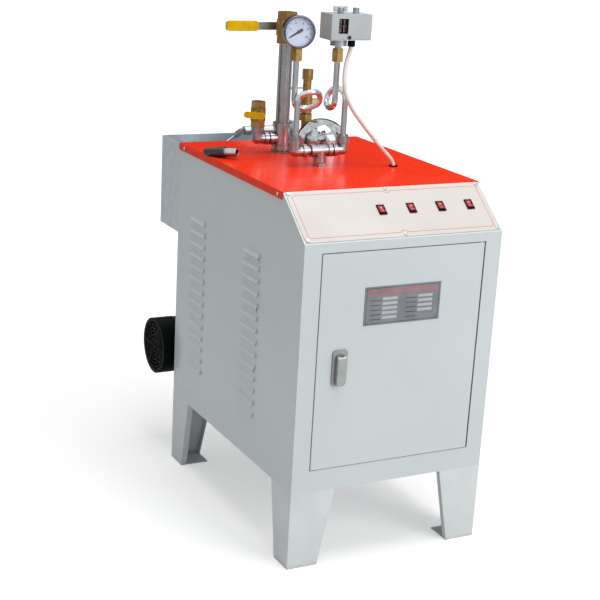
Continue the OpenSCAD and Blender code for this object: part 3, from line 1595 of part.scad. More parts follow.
module side_valve_handle() color("gold") placed()
  move([riser_x - side_arm, riser_y, side_valve_low() + side_valve_len / 2]) rotate([0, 0, side_turn]) {
    valve_stem(side_round, lever_at(side_round) + butterfly_t);
    move([0, lever_at(side_round), 0]) {
      rod_y(butterfly_hub_d, butterfly_t);
      move([-butterfly_w / 2, 0, -butterfly_h / 2]) along_y(butterfly_t)
        round_rect(butterfly_w, butterfly_h, butterfly_h / 2 - play);
    }
  }

module safety_valve_body() color("goldenrod") placed() move([safety_x, safety_y, 0]) {
  difference() {
    union() {
      move([0, 0, hex_z]) hexagon(hex_af, hex_h);
      move([0, 0, hex_z + hex_h]) rod(bonnet_d, waist_h);
      move([0, 0, spring_z]) rod(safety_d, spring_h);
      move([0, 0, spring_z + spring_h / 2]) rod_x(discharge_d, discharge_out);
      move([0, 0, bonnet_z]) rod(bonnet_d, bonnet_h);
      move([0, 0, bonnet_z + bonnet_h]) rod(cap_d, cap_h);
    }
    move([0, 0, hex_z - cut]) rod(pipe_d + 2 * pipe_play, seat + cut);
    move([0, 0, hex_z]) rod(pipe_bore, hex_h + waist_h + spring_h / 2);
    move([0, 0, spring_z + spring_h / 2]) rod_x(pipe_bore, discharge_out + cut);
    box([-bonnet_d, -lift_w / 2 - play, slot_z],
      [bonnet_d, lift_w / 2 + play, slot_z + lift_room]);
    move([lift_pin_x, -bonnet_d, lift_pin_z])
      rod_y(lift_pin_d + 2 * running, 2 * bonnet_d);
  }
  pipe_up([0, 0], socket_top - seat, hex_z + seat);
  move([0, 0, body_h]) nut(nut_af, nut_t, pipe_d);
}

module safety_valve_lever() color("silver") placed()
  move([safety_x + lift_pin_x, safety_y, lift_pin_z]) {
      box([-lift_len, -lift_w / 2, -lift_t / 2], [0, lift_w / 2, lift_t / 2]);
      move([0, -lift_w / 2, 0]) rod_y(2 * lift_t, lift_w);
      move([0, -lift_w / 2 - play - lift_t, 0]) rod_y(lift_pin_d, lift_w + 2 * play + 2 * lift_t);
      move([-lift_len - lift_w, 0, -lift_t / 2]) difference() {
        rod(3 * lift_w, lift_t);
        bore(2 * lift_w, lift_t);
      }
    }

module hose_connector() color("dimgray") placed()
  move([loose_at.x, loose_at.y, body_h + tail_d / 2])
  rotate([0, -atan((sleeve_d - tail_d) / 2 / sleeve_len), loose_turn]) {
    difference() {
      rotate([0, 90, 0]) cylinder(d1 = tail_d, d2 = sleeve_d, h = sleeve_len);
      bore_x(tip_bore, sleeve_len);
    }
    move([sleeve_len, 0, 0]) difference() {
      rod_x(tip_d, tip_len);
      bore_x(tip_bore, tip_len);
    }
  }

// The drain valve's middle
module at_drain() move([drum_x, drum_y, drain_z]) children();

module drain_valve_body() color("goldenrod") placed() {
  at_drain() move([0, 0, drain_len / 2]) mirror([0, 0, 1])
    valve_body(drain_len, drain_af, drain_round, pipe_d, valve_in, 2 * side_thread_r);
  pipe_up([drum_x, drum_y], drain_z + drain_len / 2 - valve_in, drum_z - socket_rise + seat);
}

module drain_valve_lever() color("firebrick") placed() at_drain() {
  valve_stem(drain_round, lever_at(drain_round) + lever_t + lever_nut_t / 2);
  move([0, lever_at(drain_round), 0])
    flat_lever(drain_lever, lever_w, lever_w + lever_nut_t, stem_share * drain_round);
}

front_frame();
left_side_panel();
right_side_panel();
rear_panel();
base_pan();
corner_legs();
top_cover();
console_panel();
panel_screws();
switch_housings();
switch_rocker_1();
switch_rocker_2();
switch_rocker_3();
switch_rocker_4();
door_panel();
lock_housing();
lock_spindle();
lock_handle();
rating_plate();
water_tank();
float_valve();
float_arm();
pump_shelf();
pump_head();
motor_housing();
fan_cover();
pump_rotor();
feed_piping();
boiler_drum();
heater_bundle();
inspection_dome();
electrics_plate();
contactors();
front_manifold();
gauge_siphon();
control_siphon();
siphon_unions();
gauge_case();
gauge_dial();
gauge_glass();
gauge_needle();
control_base();
control_housing();
range_screw();
range_pointer();
diff_screw();
cable_glands();
control_cable();
rear_manifold();
steam_valve_body();
steam_valve_stem();
steam_lever();
lever_grip();
side_valve_body();
side_valve_handle();
safety_valve_body();
safety_valve_lever();
hose_connector();
drain_valve_body();
drain_valve_lever();
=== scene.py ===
"""Looks of an electric steam boiler for garment irons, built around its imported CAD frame.

Places are given in the cabinet's own frame, in millimetres from its front left corner at the
floor: X to the right, Y to the back and Z up. Function at() turns them into the row frame.
"""

import json
import logging
import math
from dataclasses import dataclass
from enum import Enum
from typing import Callable, Iterable, Sequence

import bmesh
import bpy
from mathutils import Matrix, Vector


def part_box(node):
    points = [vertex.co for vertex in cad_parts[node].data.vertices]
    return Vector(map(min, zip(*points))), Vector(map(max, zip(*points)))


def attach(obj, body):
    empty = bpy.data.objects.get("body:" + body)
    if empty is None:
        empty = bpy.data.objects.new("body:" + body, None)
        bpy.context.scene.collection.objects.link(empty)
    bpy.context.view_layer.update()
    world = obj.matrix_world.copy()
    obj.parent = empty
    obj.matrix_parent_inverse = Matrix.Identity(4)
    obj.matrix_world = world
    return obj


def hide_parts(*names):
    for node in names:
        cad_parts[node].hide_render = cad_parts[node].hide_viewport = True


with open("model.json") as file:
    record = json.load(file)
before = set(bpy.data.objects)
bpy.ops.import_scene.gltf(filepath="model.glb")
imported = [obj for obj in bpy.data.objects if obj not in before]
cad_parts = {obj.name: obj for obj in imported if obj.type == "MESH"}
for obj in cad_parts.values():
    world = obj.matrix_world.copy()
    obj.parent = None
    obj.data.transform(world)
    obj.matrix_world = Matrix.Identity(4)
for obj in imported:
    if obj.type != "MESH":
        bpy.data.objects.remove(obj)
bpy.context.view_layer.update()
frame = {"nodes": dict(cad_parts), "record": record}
LOG = logging.getLogger("boiler")
MM = 0.001
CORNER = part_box("corner_legs")[0]
TURN = math.tau
WELD = 1e-6
NODE_WELD = 2e-6
FLAT_ANGLE = 0.4
FOLD_ANGLE = 38.0
ROOT = "boiler"
Point = Sequence[float]
Colour = tuple[float, float, float, float]
Nodes = bpy.types.Nodes
Links = bpy.types.NodeLinks
Socket = bpy.types.NodeSocket


def at(x: float, y: float, z: float) -> Vector:
    """Point of the row frame, in metres, for a place in the cabinet's own frame."""
    return Vector((CORNER.x + x * MM, CORNER.y + y * MM, CORNER.z + z * MM))


def srgb(code: int) -> Colour:
    """Linear colour of a colour code.

    Args:
        code: Red, green and blue as one number, such as 0xC0FFEE.

    Returns:
        The linear colour, opaque.
    """
    channels = [(code >> shift & 255) / 255 for shift in (16, 8, 0)]
    linear = [c / 12.92 if c <= 0.04045 else ((c + 0.055) / 1.055) ** 2.4 for c in channels]
    return (linear[0], linear[1], linear[2], 1.0)


class Pattern(Enum):
    """How a finish varies over its surface."""

    CLOUD = "cloud"
    SPANGLE = "spangle"
    BRUSHED = "brushed"


@dataclass(frozen=True)
class Finish:
    """Procedural surface: two colours in patches, a swing of roughness and a fine grain.

    light and dark are colour codes, patch and grain are features a metre, relief is the bump's
    strength, a weight of painted shade darkens inner corners, and shine is the level of the
    specular reflection.
    """

    name: str
    light: int
    dark: int
    rough: float
    swing: float = 0.08
    metal: float = 0.0
    coat: float = 0.0
    patch: float = 14.0
    grain: float = 700.0
    relief: float = 0.05
    # Weight of painted shade that ambient occlusion puts in inner corners.
    grime: float = 0.0
    pattern: Pattern = Pattern.CLOUD
    shine: float = 0.5
    coat_rough: float = 0.08
    brush_stretch: float = 0.04
    rough_least: float = 0.02
    patch_low: float = 0.3
    patch_high: float = 0.7
    bump_depth: float = 0.0006
    # Reach, range and colour of the painted shade in inner corners.
    corner_reach: float = 0.012
    corner_from: float = 0.35
    corner_to: float = 0.9
    corner_dark: int = 0x2A2622

    def material(self) -> bpy.types.Material:
        """The finish as a node material, made once and then shared.

        Returns:
            The material of this name.
        """
        label = self.name + "_finish"
        if label in bpy.data.materials:
            return bpy.data.materials[label]
        mat = bpy.data.materials.new(label)
        mat.use_nodes = True
        nodes = mat.node_tree.nodes
        links = mat.node_tree.links
        shader = nodes["Principled BSDF"]
        shader.inputs["Metallic"].default_value = self.metal
        shader.inputs["Coat Weight"].default_value = self.coat
        shader.inputs["Specular IOR Level"].default_value = self.shine
        shader.inputs["Coat Roughness"].default_value = self.coat_rough
        coords = nodes.new("ShaderNodeTexCoord").outputs["Object"]
        if self.pattern is Pattern.BRUSHED:
            stretch = nodes.new("ShaderNodeMapping")
            stretch.inputs["Scale"].default_value = (self.brush_stretch, 1.0, 1.0)
            links.new(coords, stretch.inputs["Vector"])
            fine_coords = stretch.outputs["Vector"]
        else:
            fine_coords = coords
        patches = self._patches(nodes, links, coords)
        mix = self._mix(nodes, links, patches)
        # Painted shade: the colour darkens in inner corners, from ambient occlusion.
        if self.grime > 0:
            mix = self._grime(nodes, links, mix)
        links.new(mix, shader.inputs["Base Color"])
        spread = nodes.new("ShaderNodeMapRange")
        spread.inputs["From Min"].default_value = self.patch_low
        spread.inputs["From Max"].default_value = self.patch_high
        spread.inputs["To Min"].default_value = max(self.rough_least, self.rough - self.swing)
        spread.inputs["To Max"].default_value = min(1.0, self.rough + self.swing)
        links.new(patches, spread.inputs["Value"])
        links.new(spread.outputs["Result"], shader.inputs["Roughness"])
        fine = nodes.new("ShaderNodeTexNoise")
        fine.inputs["Scale"].default_value = self.grain
        fine.inputs["Detail"].default_value = 3.0
        links.new(fine_coords, fine.inputs["Vector"])
        bump = nodes.new("ShaderNodeBump")
        bump.inputs["Strength"].default_value = self.relief
        bump.inputs["Distance"].default_value = self.bump_depth
        links.new(fine.outputs["Fac"], bump.inputs["Height"])
        links.new(bump.outputs["Normal"], shader.inputs["Normal"])
        return mat

    def _patches(self, nodes: Nodes, links: Links, coords: Socket) -> Socket:
        """The value that the patches follow.

        Args:
            nodes: The material's nodes.
            links: The material's links.
            coords: Where on the piece a point lies.

        Returns:
            A value from 0 to 1.
        """
        if self.pattern is Pattern.SPANGLE:
            cells = nodes.new("ShaderNodeTexVoronoi")
            cells.inputs["Scale"].default_value = self.patch
            links.new(coords, cells.inputs["Vector"])
            split = nodes.new("ShaderNodeSeparateColor")
            links.new(cells.outputs["Color"], split.inputs["Color"])
            return split.outputs["Red"]
        noise = nodes.new("ShaderNodeTexNoise")
        noise.inputs["Scale"].default_value = self.patch
        noise.inputs["Detail"].default_value = 5.0
        links.new(coords, noise.inputs["Vector"])
        return noise.outputs["Fac"]

    def _mix(self, nodes: Nodes, links: Links, factor: Socket) -> Socket:
        """The two colours mixed along a value.

        Args:
            nodes: The material's nodes.
            links: The material's links.
            factor: The value, from 0 to 1.

        Returns:
            The colour.
        """
        ramp = nodes.new("ShaderNodeValToRGB")
        ramp.color_ramp.elements[0].position = self.patch_low
        ramp.color_ramp.elements[1].position = self.patch_high
        ramp.color_ramp.elements[0].color = srgb(self.light)
        ramp.color_ramp.elements[1].color = srgb(self.dark)
        links.new(factor, ramp.inputs["Fac"])
        return ramp.outputs["Color"]

    def _grime(self, nodes: Nodes, links: Links, colour: Socket) -> Socket:
        """Paints shade into a colour where surfaces meet, from ambient occlusion.

        Args:
            nodes: The material's nodes.
            links: The material's links.
            colour: The colour before the painted shade.

        Returns:
            The darker colour.
        """
        # Painted shade: ambient occlusion blends the colour towards corner_dark where surfaces
        # meet.
        shelter = nodes.new("ShaderNodeAmbientOcclusion")
        shelter.samples = 8
        shelter.inputs["Distance"].default_value = self.corner_reach
        weight = nodes.new("ShaderNodeMapRange")
        weight.inputs["From Min"].default_value = self.corner_from
        weight.inputs["From Max"].default_value = self.corner_to
        weight.inputs["To Min"].default_value = self.grime
        weight.inputs["To Max"].default_value = 0.0
        links.new(shelter.outputs["AO"], weight.inputs["Value"])
        mix = nodes.new("ShaderNodeMix")
        mix.data_type = "RGBA"
        links.new(weight.outputs["Result"], mix.inputs[0])
        links.new(colour, mix.inputs[6])
        mix.inputs[7].default_value = srgb(self.corner_dark)
        return mix.outputs[2]


@dataclass(frozen=True)
class ClearGlass:
    """Flat glass that lets the lamps through to what is behind it."""

    name: str = "clear_glass_pane"
    tint: Colour = (0.97, 0.99, 0.98, 1.0)
    rough: float = 0.02
    ior: float = 1.45

    def material(self) -> bpy.types.Material:
        """The glass as a node material, made once and then shared.

        Returns:
            The material of this name.
        """
        label = self.name + "_finish"
        if label in bpy.data.materials:
            return bpy.data.materials[label]
        mat = bpy.data.materials.new(label)
        mat.use_nodes = True
        nodes = mat.node_tree.nodes
        links = mat.node_tree.links
        shader = nodes["Principled BSDF"]
        shader.inputs["Base Color"].default_value = self.tint
        shader.inputs["Roughness"].default_value = self.rough
        shader.inputs["IOR"].default_value = self.ior
        shader.inputs["Transmission Weight"].default_value = 1.0
        clear = nodes.new("ShaderNodeBsdfTransparent")
        path = nodes.new("ShaderNodeLightPath")
        mix = nodes.new("ShaderNodeMixShader")
        links.new(path.outputs["Is Shadow Ray"], mix.inputs["Fac"])
        links.new(shader.outputs["BSDF"], mix.inputs[1])
        links.new(clear.outputs["BSDF"], mix.inputs[2])
        links.new(mix.outputs["Shader"], nodes["Material Output"].inputs["Surface"])
        return mat


WHITE_ENAMEL = Finish("white_enamel", 0xD6DEE0, 0xD0D9DB, 0.3, 0.04, coat=0.25, patch=4,
                      grain=420, relief=0.05, grime=0.25)
LEG_ENAMEL = Finish("leg_enamel", 0xE0E5E6, 0xD6DCDD, 0.32, 0.07, coat=0.25, patch=16, grain=420,
                    relief=0.07, grime=0.3)
RED_ENAMEL = Finish("red_enamel", 0xFF3604, 0xFA3003, 0.28, 0.05, coat=0.02, patch=7, grain=260,
                    relief=0.03, grime=0.15, shine=0.12)
OVERLAY_WHITE = Finish("overlay_white", 0xD4CFC9, 0xCDC8C3, 0.38, 0.05, patch=12, grain=1500,
                       relief=0.03, grime=0.15)
BORDER_RED = Finish("border_red", 0xDE5A48, 0xD65040, 0.4, patch=60, grain=2200, relief=0.04)
GALVANISED = Finish("galvanised_sheet", 0xCEDBE1, 0xC8D4DB, 0.4, 0.06, 0.45, patch=95, grain=300,
                    relief=0.05, grime=0.3, pattern=Pattern.SPANGLE)
ZINC = Finish("zinc_plate", 0xC8CCD0, 0xA8AEB4, 0.38, 0.08, 0.9, patch=30, grain=900,
              relief=0.05, grime=0.3)
CHROME = Finish("bright_chrome", 0xC9CCD0, 0xA4A9AE, 0.07, 0.05, 1.0, patch=70, grain=160,
                relief=0.3, grime=0.5)
NICKEL = Finish("nickelled_iron", 0xB9B8BA, 0x99989D, 0.24, 0.08, 0.95, patch=60, grain=420,
                relief=0.035, grime=0.5)
DOME_CHROME = Finish("dome_chrome", 0xD0D3D6, 0x8E9498, 0.06, 0.04, 1.0, patch=110, grain=70,
                     relief=1.0, grime=0.5)
TUBE_CHROME = Finish("tube_chrome", 0xE4E6E8, 0xC6C9CD, 0.16, 0.06, 1.0, patch=60, grain=500,
                     relief=0.06, grime=0.5)
STEEL = Finish("plain_steel", 0xB9BEC2, 0x8F959B, 0.32, 0.1, 0.95, patch=70, grain=1200,
               relief=0.06, grime=0.35)
LOCK_STEEL = Finish("lock_satin", 0xB2B6B4, 0x9EA2A0, 0.42, 0.06, 0.6, patch=60, grain=2000,
                    relief=0.06, grime=0.4, pattern=Pattern.BRUSHED)
BRASS = Finish("cast_brass", 0xBE9A5E, 0x8A6C3A, 0.36, 0.12, 0.9, patch=90, grain=900,
               relief=0.16, grime=0.6)
IRON = Finish("painted_iron", 0x2B2F35, 0x202429, 0.52, 0.1, patch=60, grain=500, relief=0.18,
              grime=0.3, shine=0.16)
DRUM_PAINT = Finish("drum_enamel", 0x7C8B96, 0x66747F, 0.42, 0.1, patch=22, grain=300,
                    relief=0.12, grime=0.4)
BLACK_PLASTIC = Finish("black_plastic", 0x060708, 0x0B0D0F, 0.5, 0.08, patch=40, grain=1500,
                       relief=0.09, grime=0.1, shine=0.06)
SLEEVE_RUBBER = Finish("sleeve_rubber", 0x40383A, 0x2C2729, 0.3, 0.08, coat=0.15, patch=60,
                       grain=1100, relief=0.1, grime=0.3)
GREY_PLASTIC = Finish("grey_plastic", 0xBAC4C8, 0xB1BBBF, 0.42, 0.06, patch=40, grain=1800,
                      relief=0.06, grime=0.3)
WHITE_PLASTIC = Finish("white_cable_sheath", 0xECEBE8, 0xDDDBD6, 0.4, 0.06, patch=60, grain=900,
                       relief=0.05)
SWITCH_RED = Finish("switch_red", 0xC0121E, 0x9C0C16, 0.26, 0.06, coat=0.12, patch=90, grain=1500,
                    relief=0.04, grime=0.4)
YELLOW_VINYL = Finish("yellow_vinyl", 0xF2CE08, 0xDEB405, 0.4, 0.08, patch=70, grain=1200,
                      relief=0.1, grime=0.4, shine=0.18)
RATING_METAL = Finish("rating_metal", 0x8C8F97, 0x7B7E86, 0.5, 0.06, 0.25, patch=24, grain=1600,
                      relief=0.06, pattern=Pattern.BRUSHED)
DIAL_WHITE = Finish("dial_white", 0xC6CEE3, 0xBCC5DC, 0.5, 0.04, patch=60, grain=2500,
                    relief=0.02)
PRINT_BLACK = Finish("print_black", 0x101214, 0x1A1D20, 0.5, 0.06, patch=80, grain=2500,
                     relief=0.03)
# Painted shade: the mid grey of the raised crosses that stand for the screws' cross recesses.
RECESS_SHADE_GREY = Finish("recess_shade_grey", 0x6E7073, 0x5E6063, 0.45, 0.06, patch=80, grain=2500,
                    relief=0.03)
PRINT_WHITE = Finish("print_white", 0xF0F0EE, 0xE6E6E4, 0.45, 0.05, patch=80, grain=2500,
                     relief=0.03)
POINTER_RED = Finish("pointer_red", 0x7A3026, 0x6A2A20, 0.5, patch=90, grain=1800, relief=0.04)
SCREW_BRIGHT = Finish("screw_nickel", 0xDADDE0, 0xC4C8CC, 0.24, 0.06, 0.9, patch=200, grain=2200,
                      relief=0.04, grime=0.2)
FIELD_PALE = Finish("field_pale", 0xC4C5CA, 0xB2B4BA, 0.45, 0.06, 0.1, patch=40, grain=1800,
                    relief=0.03)
TAPE_WHITE = Finish("tape_white", 0xF2F2F0, 0xE2E2DE, 0.55, 0.08, patch=120, grain=1600,
                    relief=0.15)
GAUGE_STEEL = Finish("gauge_steel", 0x7A7884, 0x57555F, 0.24, 0.08, 0.95, patch=50, grain=1200,
                     relief=0.04, grime=0.4)
GLASS = ClearGlass()

NODE_FINISH: dict[str, Finish | ClearGlass] = {
    "front_frame": WHITE_ENAMEL, "left_side_panel": WHITE_ENAMEL,
    "right_side_panel": WHITE_ENAMEL, "rear_panel": WHITE_ENAMEL, "base_pan": ZINC,
    "corner_legs": LEG_ENAMEL, "top_cover": RED_ENAMEL, "console_panel": OVERLAY_WHITE,
    "panel_screws": SCREW_BRIGHT, "switch_housings": BLACK_PLASTIC, "door_panel": WHITE_ENAMEL,
    "lock_housing": LOCK_STEEL, "lock_spindle": STEEL, "lock_handle": LOCK_STEEL,
    "rating_plate": RATING_METAL, "water_tank": GALVANISED, "float_valve": ZINC,
    "float_arm": STEEL, "pump_shelf": WHITE_ENAMEL, "pump_head": IRON, "motor_housing": IRON,
    "fan_cover": BLACK_PLASTIC, "pump_rotor": STEEL, "feed_piping": BRASS,
    "boiler_drum": DRUM_PAINT, "heater_bundle": STEEL, "inspection_dome": DOME_CHROME,
    "electrics_plate": ZINC, "contactors": BLACK_PLASTIC, "front_manifold": NICKEL,
    "gauge_siphon": TUBE_CHROME, "control_siphon": TUBE_CHROME, "siphon_unions": BRASS,
    "gauge_case": STEEL, "gauge_dial": DIAL_WHITE, "gauge_glass": GLASS,
    "gauge_needle": PRINT_BLACK, "control_base": ZINC, "control_housing": GREY_PLASTIC,
    "range_screw": STEEL, "range_pointer": POINTER_RED, "diff_screw": STEEL,
    "cable_glands": BLACK_PLASTIC, "control_cable": WHITE_PLASTIC, "rear_manifold": NICKEL,
    "steam_valve_body": BRASS, "steam_valve_stem": STEEL, "steam_lever": STEEL,
    "lever_grip": YELLOW_VINYL, "side_valve_body": BRASS, "side_valve_handle": YELLOW_VINYL,
    "safety_valve_body": BRASS, "safety_valve_lever": STEEL, "hose_connector": SLEEVE_RUBBER,
    "drain_valve_body": BRASS, "drain_valve_lever": STEEL,
    "switch_rocker_1": SWITCH_RED, "switch_rocker_2": SWITCH_RED,
    "switch_rocker_3": SWITCH_RED, "switch_rocker_4": SWITCH_RED,
}


class Bench:
    """Mesh work by operators, on one new piece at a time."""

    @staticmethod
    def pick(piece: bpy.types.Object) -> None:
        """Makes a piece the only selected and active object.

        Args:
            piece: The piece to pick.
        """
        bpy.ops.object.select_all(action="DESELECT")
        piece.select_set(True)
        bpy.context.view_layer.objects.active = piece

    @staticmethod
    def modify(piece: bpy.types.Object, kind: str, **settings: object) -> None:
        """Adds one modifier with its settings and applies it.

        Args:
            piece: The piece that takes the modifier.
            kind: The modifier's type.
            settings: Its properties by name.
        """
        Bench.pick(piece)
        modifier = piece.modifiers.new(kind.lower(), kind)
        for name, value in settings.items():
            setattr(modifier, name, value)
        bpy.ops.object.modifier_apply(modifier=modifier.name)

    @staticmethod
    def edit(piece: bpy.types.Object, *steps: Callable[[], object]) -> None:
        """Runs edit-mode steps on all of the piece.

        Args:
            piece: The piece to work on.
            steps: What to run, in order.
        """
        Bench.pick(piece)
        bpy.ops.object.mode_set(mode="EDIT")
        bpy.ops.mesh.select_mode(type="VERT")
        bpy.ops.mesh.select_all(action="SELECT")
        for step in steps:
            step()
        bpy.ops.object.mode_set(mode="OBJECT")

    @staticmethod
    def smooth(piece: bpy.types.Object, degrees: float = 35.0) -> None:
        """Shades smooth every edge flatter than the angle."""
        Bench.pick(piece)
        bpy.ops.object.shade_smooth_by_angle(angle=math.radians(degrees))

    @staticmethod
    def clean(piece: bpy.types.Object) -> None:
        """Merges doubles and turns the faces outwards.

        Args:
            piece: The piece to clean.
        """
        Bench.edit(
            piece,
            lambda: bpy.ops.mesh.remove_doubles(threshold=WELD),
            lambda: bpy.ops.mesh.normals_make_consistent(inside=False),
        )

    @staticmethod
    def place(piece: bpy.types.Object, seat: Matrix) -> None:
        """Moves the mesh to its seat, and leaves the object at the origin.

        Args:
            piece: The piece to move.
            seat: Where its mesh goes.
        """
        piece.data.transform(piece.matrix_world)
        piece.matrix_world = Matrix.Identity(4)
        piece.data.transform(seat)
        piece.data.update()

    @staticmethod
    def finish(
        piece: bpy.types.Object,
        name: str,
        body: str,
        finish: Finish | ClearGlass,
        slot: str,
        replaces: Iterable[str] = (),
    ) -> bpy.types.Object:
        """Names, dresses and rides a finished piece.

        Args:
            piece: The finished object.
            name: Its name.
            body: The CAD body that carries it.
            finish: Its surface.
            slot: The record's material slot; not used.
            replaces: The CAD nodes that it stands for.

        Returns:
            The same piece.
        """
        piece.name = name
        if not piece.data.materials:
            piece.data.materials.append(finish.material())
        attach(piece, body)
        if replaces:
            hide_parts(*replaces)
        LOG.info("%s rides on %s", name, body)
        return piece

    @staticmethod
    def block(size: Point, centre: Point) -> bpy.types.Object:
        """A box, as the start of a piece.

        Args:
            size: Its three sides, in metres.
            centre: Its middle, in metres.

        Returns:
            The box.
        """
        bpy.ops.object.select_all(action="DESELECT")
        bpy.ops.mesh.primitive_cube_add(size=1.0, location=centre)
        piece = bpy.context.object
        piece.scale = size
        bpy.ops.object.transform_apply(location=True, rotation=True, scale=True)
        return piece

    @staticmethod
    def disc(radius: float, depth: float, centre: Point, sides: int = 48) -> bpy.types.Object:
        """An upright round bar, as the start of a piece.

        Args:
            radius: Its radius, in metres.
            depth: Its length, in metres.
            centre: Its middle, in metres.
            sides: Sides of its outline.

        Returns:
            The bar.
        """
        bpy.ops.object.select_all(action="DESELECT")
        bpy.ops.mesh.primitive_cylinder_add(
            vertices=sides, radius=radius, depth=depth, location=centre)
        piece = bpy.context.object
        bpy.ops.object.transform_apply(location=True, rotation=True, scale=True)
        return piece

    @staticmethod
    def lathe(profile: Sequence[tuple[float, float]], sides: int = 64) -> bpy.types.Object:
        """A closed profile of radius and height, in metres, spun round Z.

        Args:
            profile: Its corners in order.
            sides: Steps of a full turn.

        Returns:
            The turned piece, its axis on Z.
        """
        bpy.ops.object.select_all(action="DESELECT")
        mesh = bpy.data.meshes.new("profile")
        count = len(profile)
        edges = [(i, (i + 1) % count) for i in range(count)]
        mesh.from_pydata([(r, 0.0, z) for r, z in profile], edges, [])
        piece = bpy.data.objects.new("turned", mesh)
        bpy.context.scene.collection.objects.link(piece)
        Bench.edit(piece, lambda: bpy.ops.mesh.spin(
            steps=sides, angle=TURN, center=(0, 0, 0), axis=(0, 0, 1)))
        Bench.clean(piece)
        return piece

    @staticmethod
    def tube(route: Sequence[Vector], radius: float, around: int = 12) -> bpy.types.Object:
        """A solid tube along a smooth open curve, as a mesh.

        Args:
            route: The points that it follows, in metres.
            radius: Its radius.
            around: Its sides.

        Returns:
            The tube.
        """
        curve = Bench.curve(route, radius, around)
        Bench.pick(curve)
        bpy.ops.object.convert(target="MESH")
        piece = bpy.context.object
        Bench.clean(piece)
        return piece

    @staticmethod
    def curve(route: Sequence[Vector], radius: float, around: int = 12) -> bpy.types.Object:
        """A bevelled curve object through the points.

        Args:
            route: The points that it follows, in metres.
            radius: Its radius.
            around: Its sides.

        Returns:
            The curve.
        """
        data = bpy.data.curves.new("route", "CURVE")
        data.dimensions = "3D"
        data.bevel_depth = radius
        data.bevel_resolution = around // 4
        data.use_fill_caps = True
        spline = data.splines.new("NURBS")
        spline.points.add(len(route) - 1)
        for point, place in zip(spline.points, route):
            point.co = (*place, 1.0)
        spline.order_u = 4
        spline.use_endpoint_u = True
        spline.resolution_u = 6
        piece = bpy.data.objects.new("route", data)
        bpy.context.scene.collection.objects.link(piece)
        return piece

    @staticmethod
    def words(text: str, height: float, depth: float, bold: float) -> bpy.types.Object:
        """Raised figures as a mesh, their middle at the origin.

        Args:
            text: The figures.
            height: How tall they are, in metres.
            depth: How far they stand out.
            bold: How far their outlines are thickened.

        Returns:
            The mesh piece.
        """
        bpy.ops.object.select_all(action="DESELECT")
        bpy.ops.object.text_add(location=(0, 0, 0))
        piece = bpy.context.object
        piece.data.body = text
        piece.data.size = height
        piece.data.extrude = depth / 2
        piece.data.offset = bold
        piece.data.align_x = "CENTER"
        piece.data.align_y = "CENTER"
        piece.data.resolution_u = 3
        bpy.ops.object.convert(target="MESH")
        return bpy.context.object

    @staticmethod
    def copy(piece: bpy.types.Object) -> bpy.types.Object:
        """A copy of a piece with its own mesh.

        Args:
            piece: The piece to copy.

        Returns:
            The copy.
        """
        twin = piece.copy()
        twin.data = piece.data.copy()
        bpy.context.scene.collection.objects.link(twin)
        return twin

    @staticmethod
    def join(pieces: Sequence[bpy.types.Object]) -> bpy.types.Object:
        """Joins several pieces into one.

        Args:
            pieces: The pieces, the first of which stays.

        Returns:
            The joined piece.
        """
        bpy.ops.object.select_all(action="DESELECT")
        for piece in pieces:
            piece.select_set(True)
        bpy.context.view_layer.objects.active = pieces[0]
        bpy.ops.object.join()
        return bpy.context.object

    @staticmethod
    def from_node(node: str) -> bpy.types.Object:
        """A merged copy of a CAD node's mesh with its flat faces whole again.

        Args:
            node: The CAD node.

        Returns:
            The copy.
        """
        mesh = frame["nodes"][node].data.copy()
        mesh.materials.clear()
        piece = bpy.data.objects.new(node + "_copy", mesh)
        bpy.context.scene.collection.objects.link(piece)
        Bench.pick(piece)
        if mesh.has_custom_normals:
            bpy.ops.mesh.customdata_custom_splitnormals_clear()
        Bench.edit(
            piece,
            lambda: bpy.ops.mesh.remove_doubles(threshold=NODE_WELD),
            lambda: bpy.ops.mesh.dissolve_limited(angle_limit=math.radians(FLAT_ANGLE)),
        )
        return piece


BODY_OF: dict[str, str] = {
    node: body for body, nodes in frame["record"]["behaviour"]["bodies"].items() for node in nodes
}
SLOTS: dict[str, str] = {
    part["node"]: part["material_slot"] for part in frame["record"]["subparts"]
}
FACE_TOP = 604.0
SLOPE_RISE = 72.0
SLOPE_RUN = 93.0
SLOPE = math.atan2(SLOPE_RISE, SLOPE_RUN)
UP_SLOPE = Vector((0, math.cos(SLOPE), math.sin(SLOPE)))
OFF_SLOPE = Vector((0, -math.sin(SLOPE), math.cos(SLOPE)))


def seat(place: Vector, out: Vector, up: Vector) -> Matrix:
    """Place and turn of a piece on a surface.

    Args:
        place: Where its origin goes.
        out: Where its Z goes, away from the surface.
        up: Where its Y goes, along the surface.

    Returns:
        The matrix that seats it.
    """
    z_axis = out.normalized()
    x_axis = up.cross(z_axis).normalized()
    turn = Matrix((x_axis, z_axis.cross(x_axis), z_axis)).transposed().to_4x4()
    return Matrix.Translation(place) @ turn


def on_slope(x: float, along: float, off: float) -> Matrix:
    """Seat on the console's slope, in millimetres across, up along and off the sheet."""
    place = at(x, 0, FACE_TOP) + (UP_SLOPE * along + OFF_SLOPE * off) * MM
    return seat(place, OFF_SLOPE, UP_SLOPE)


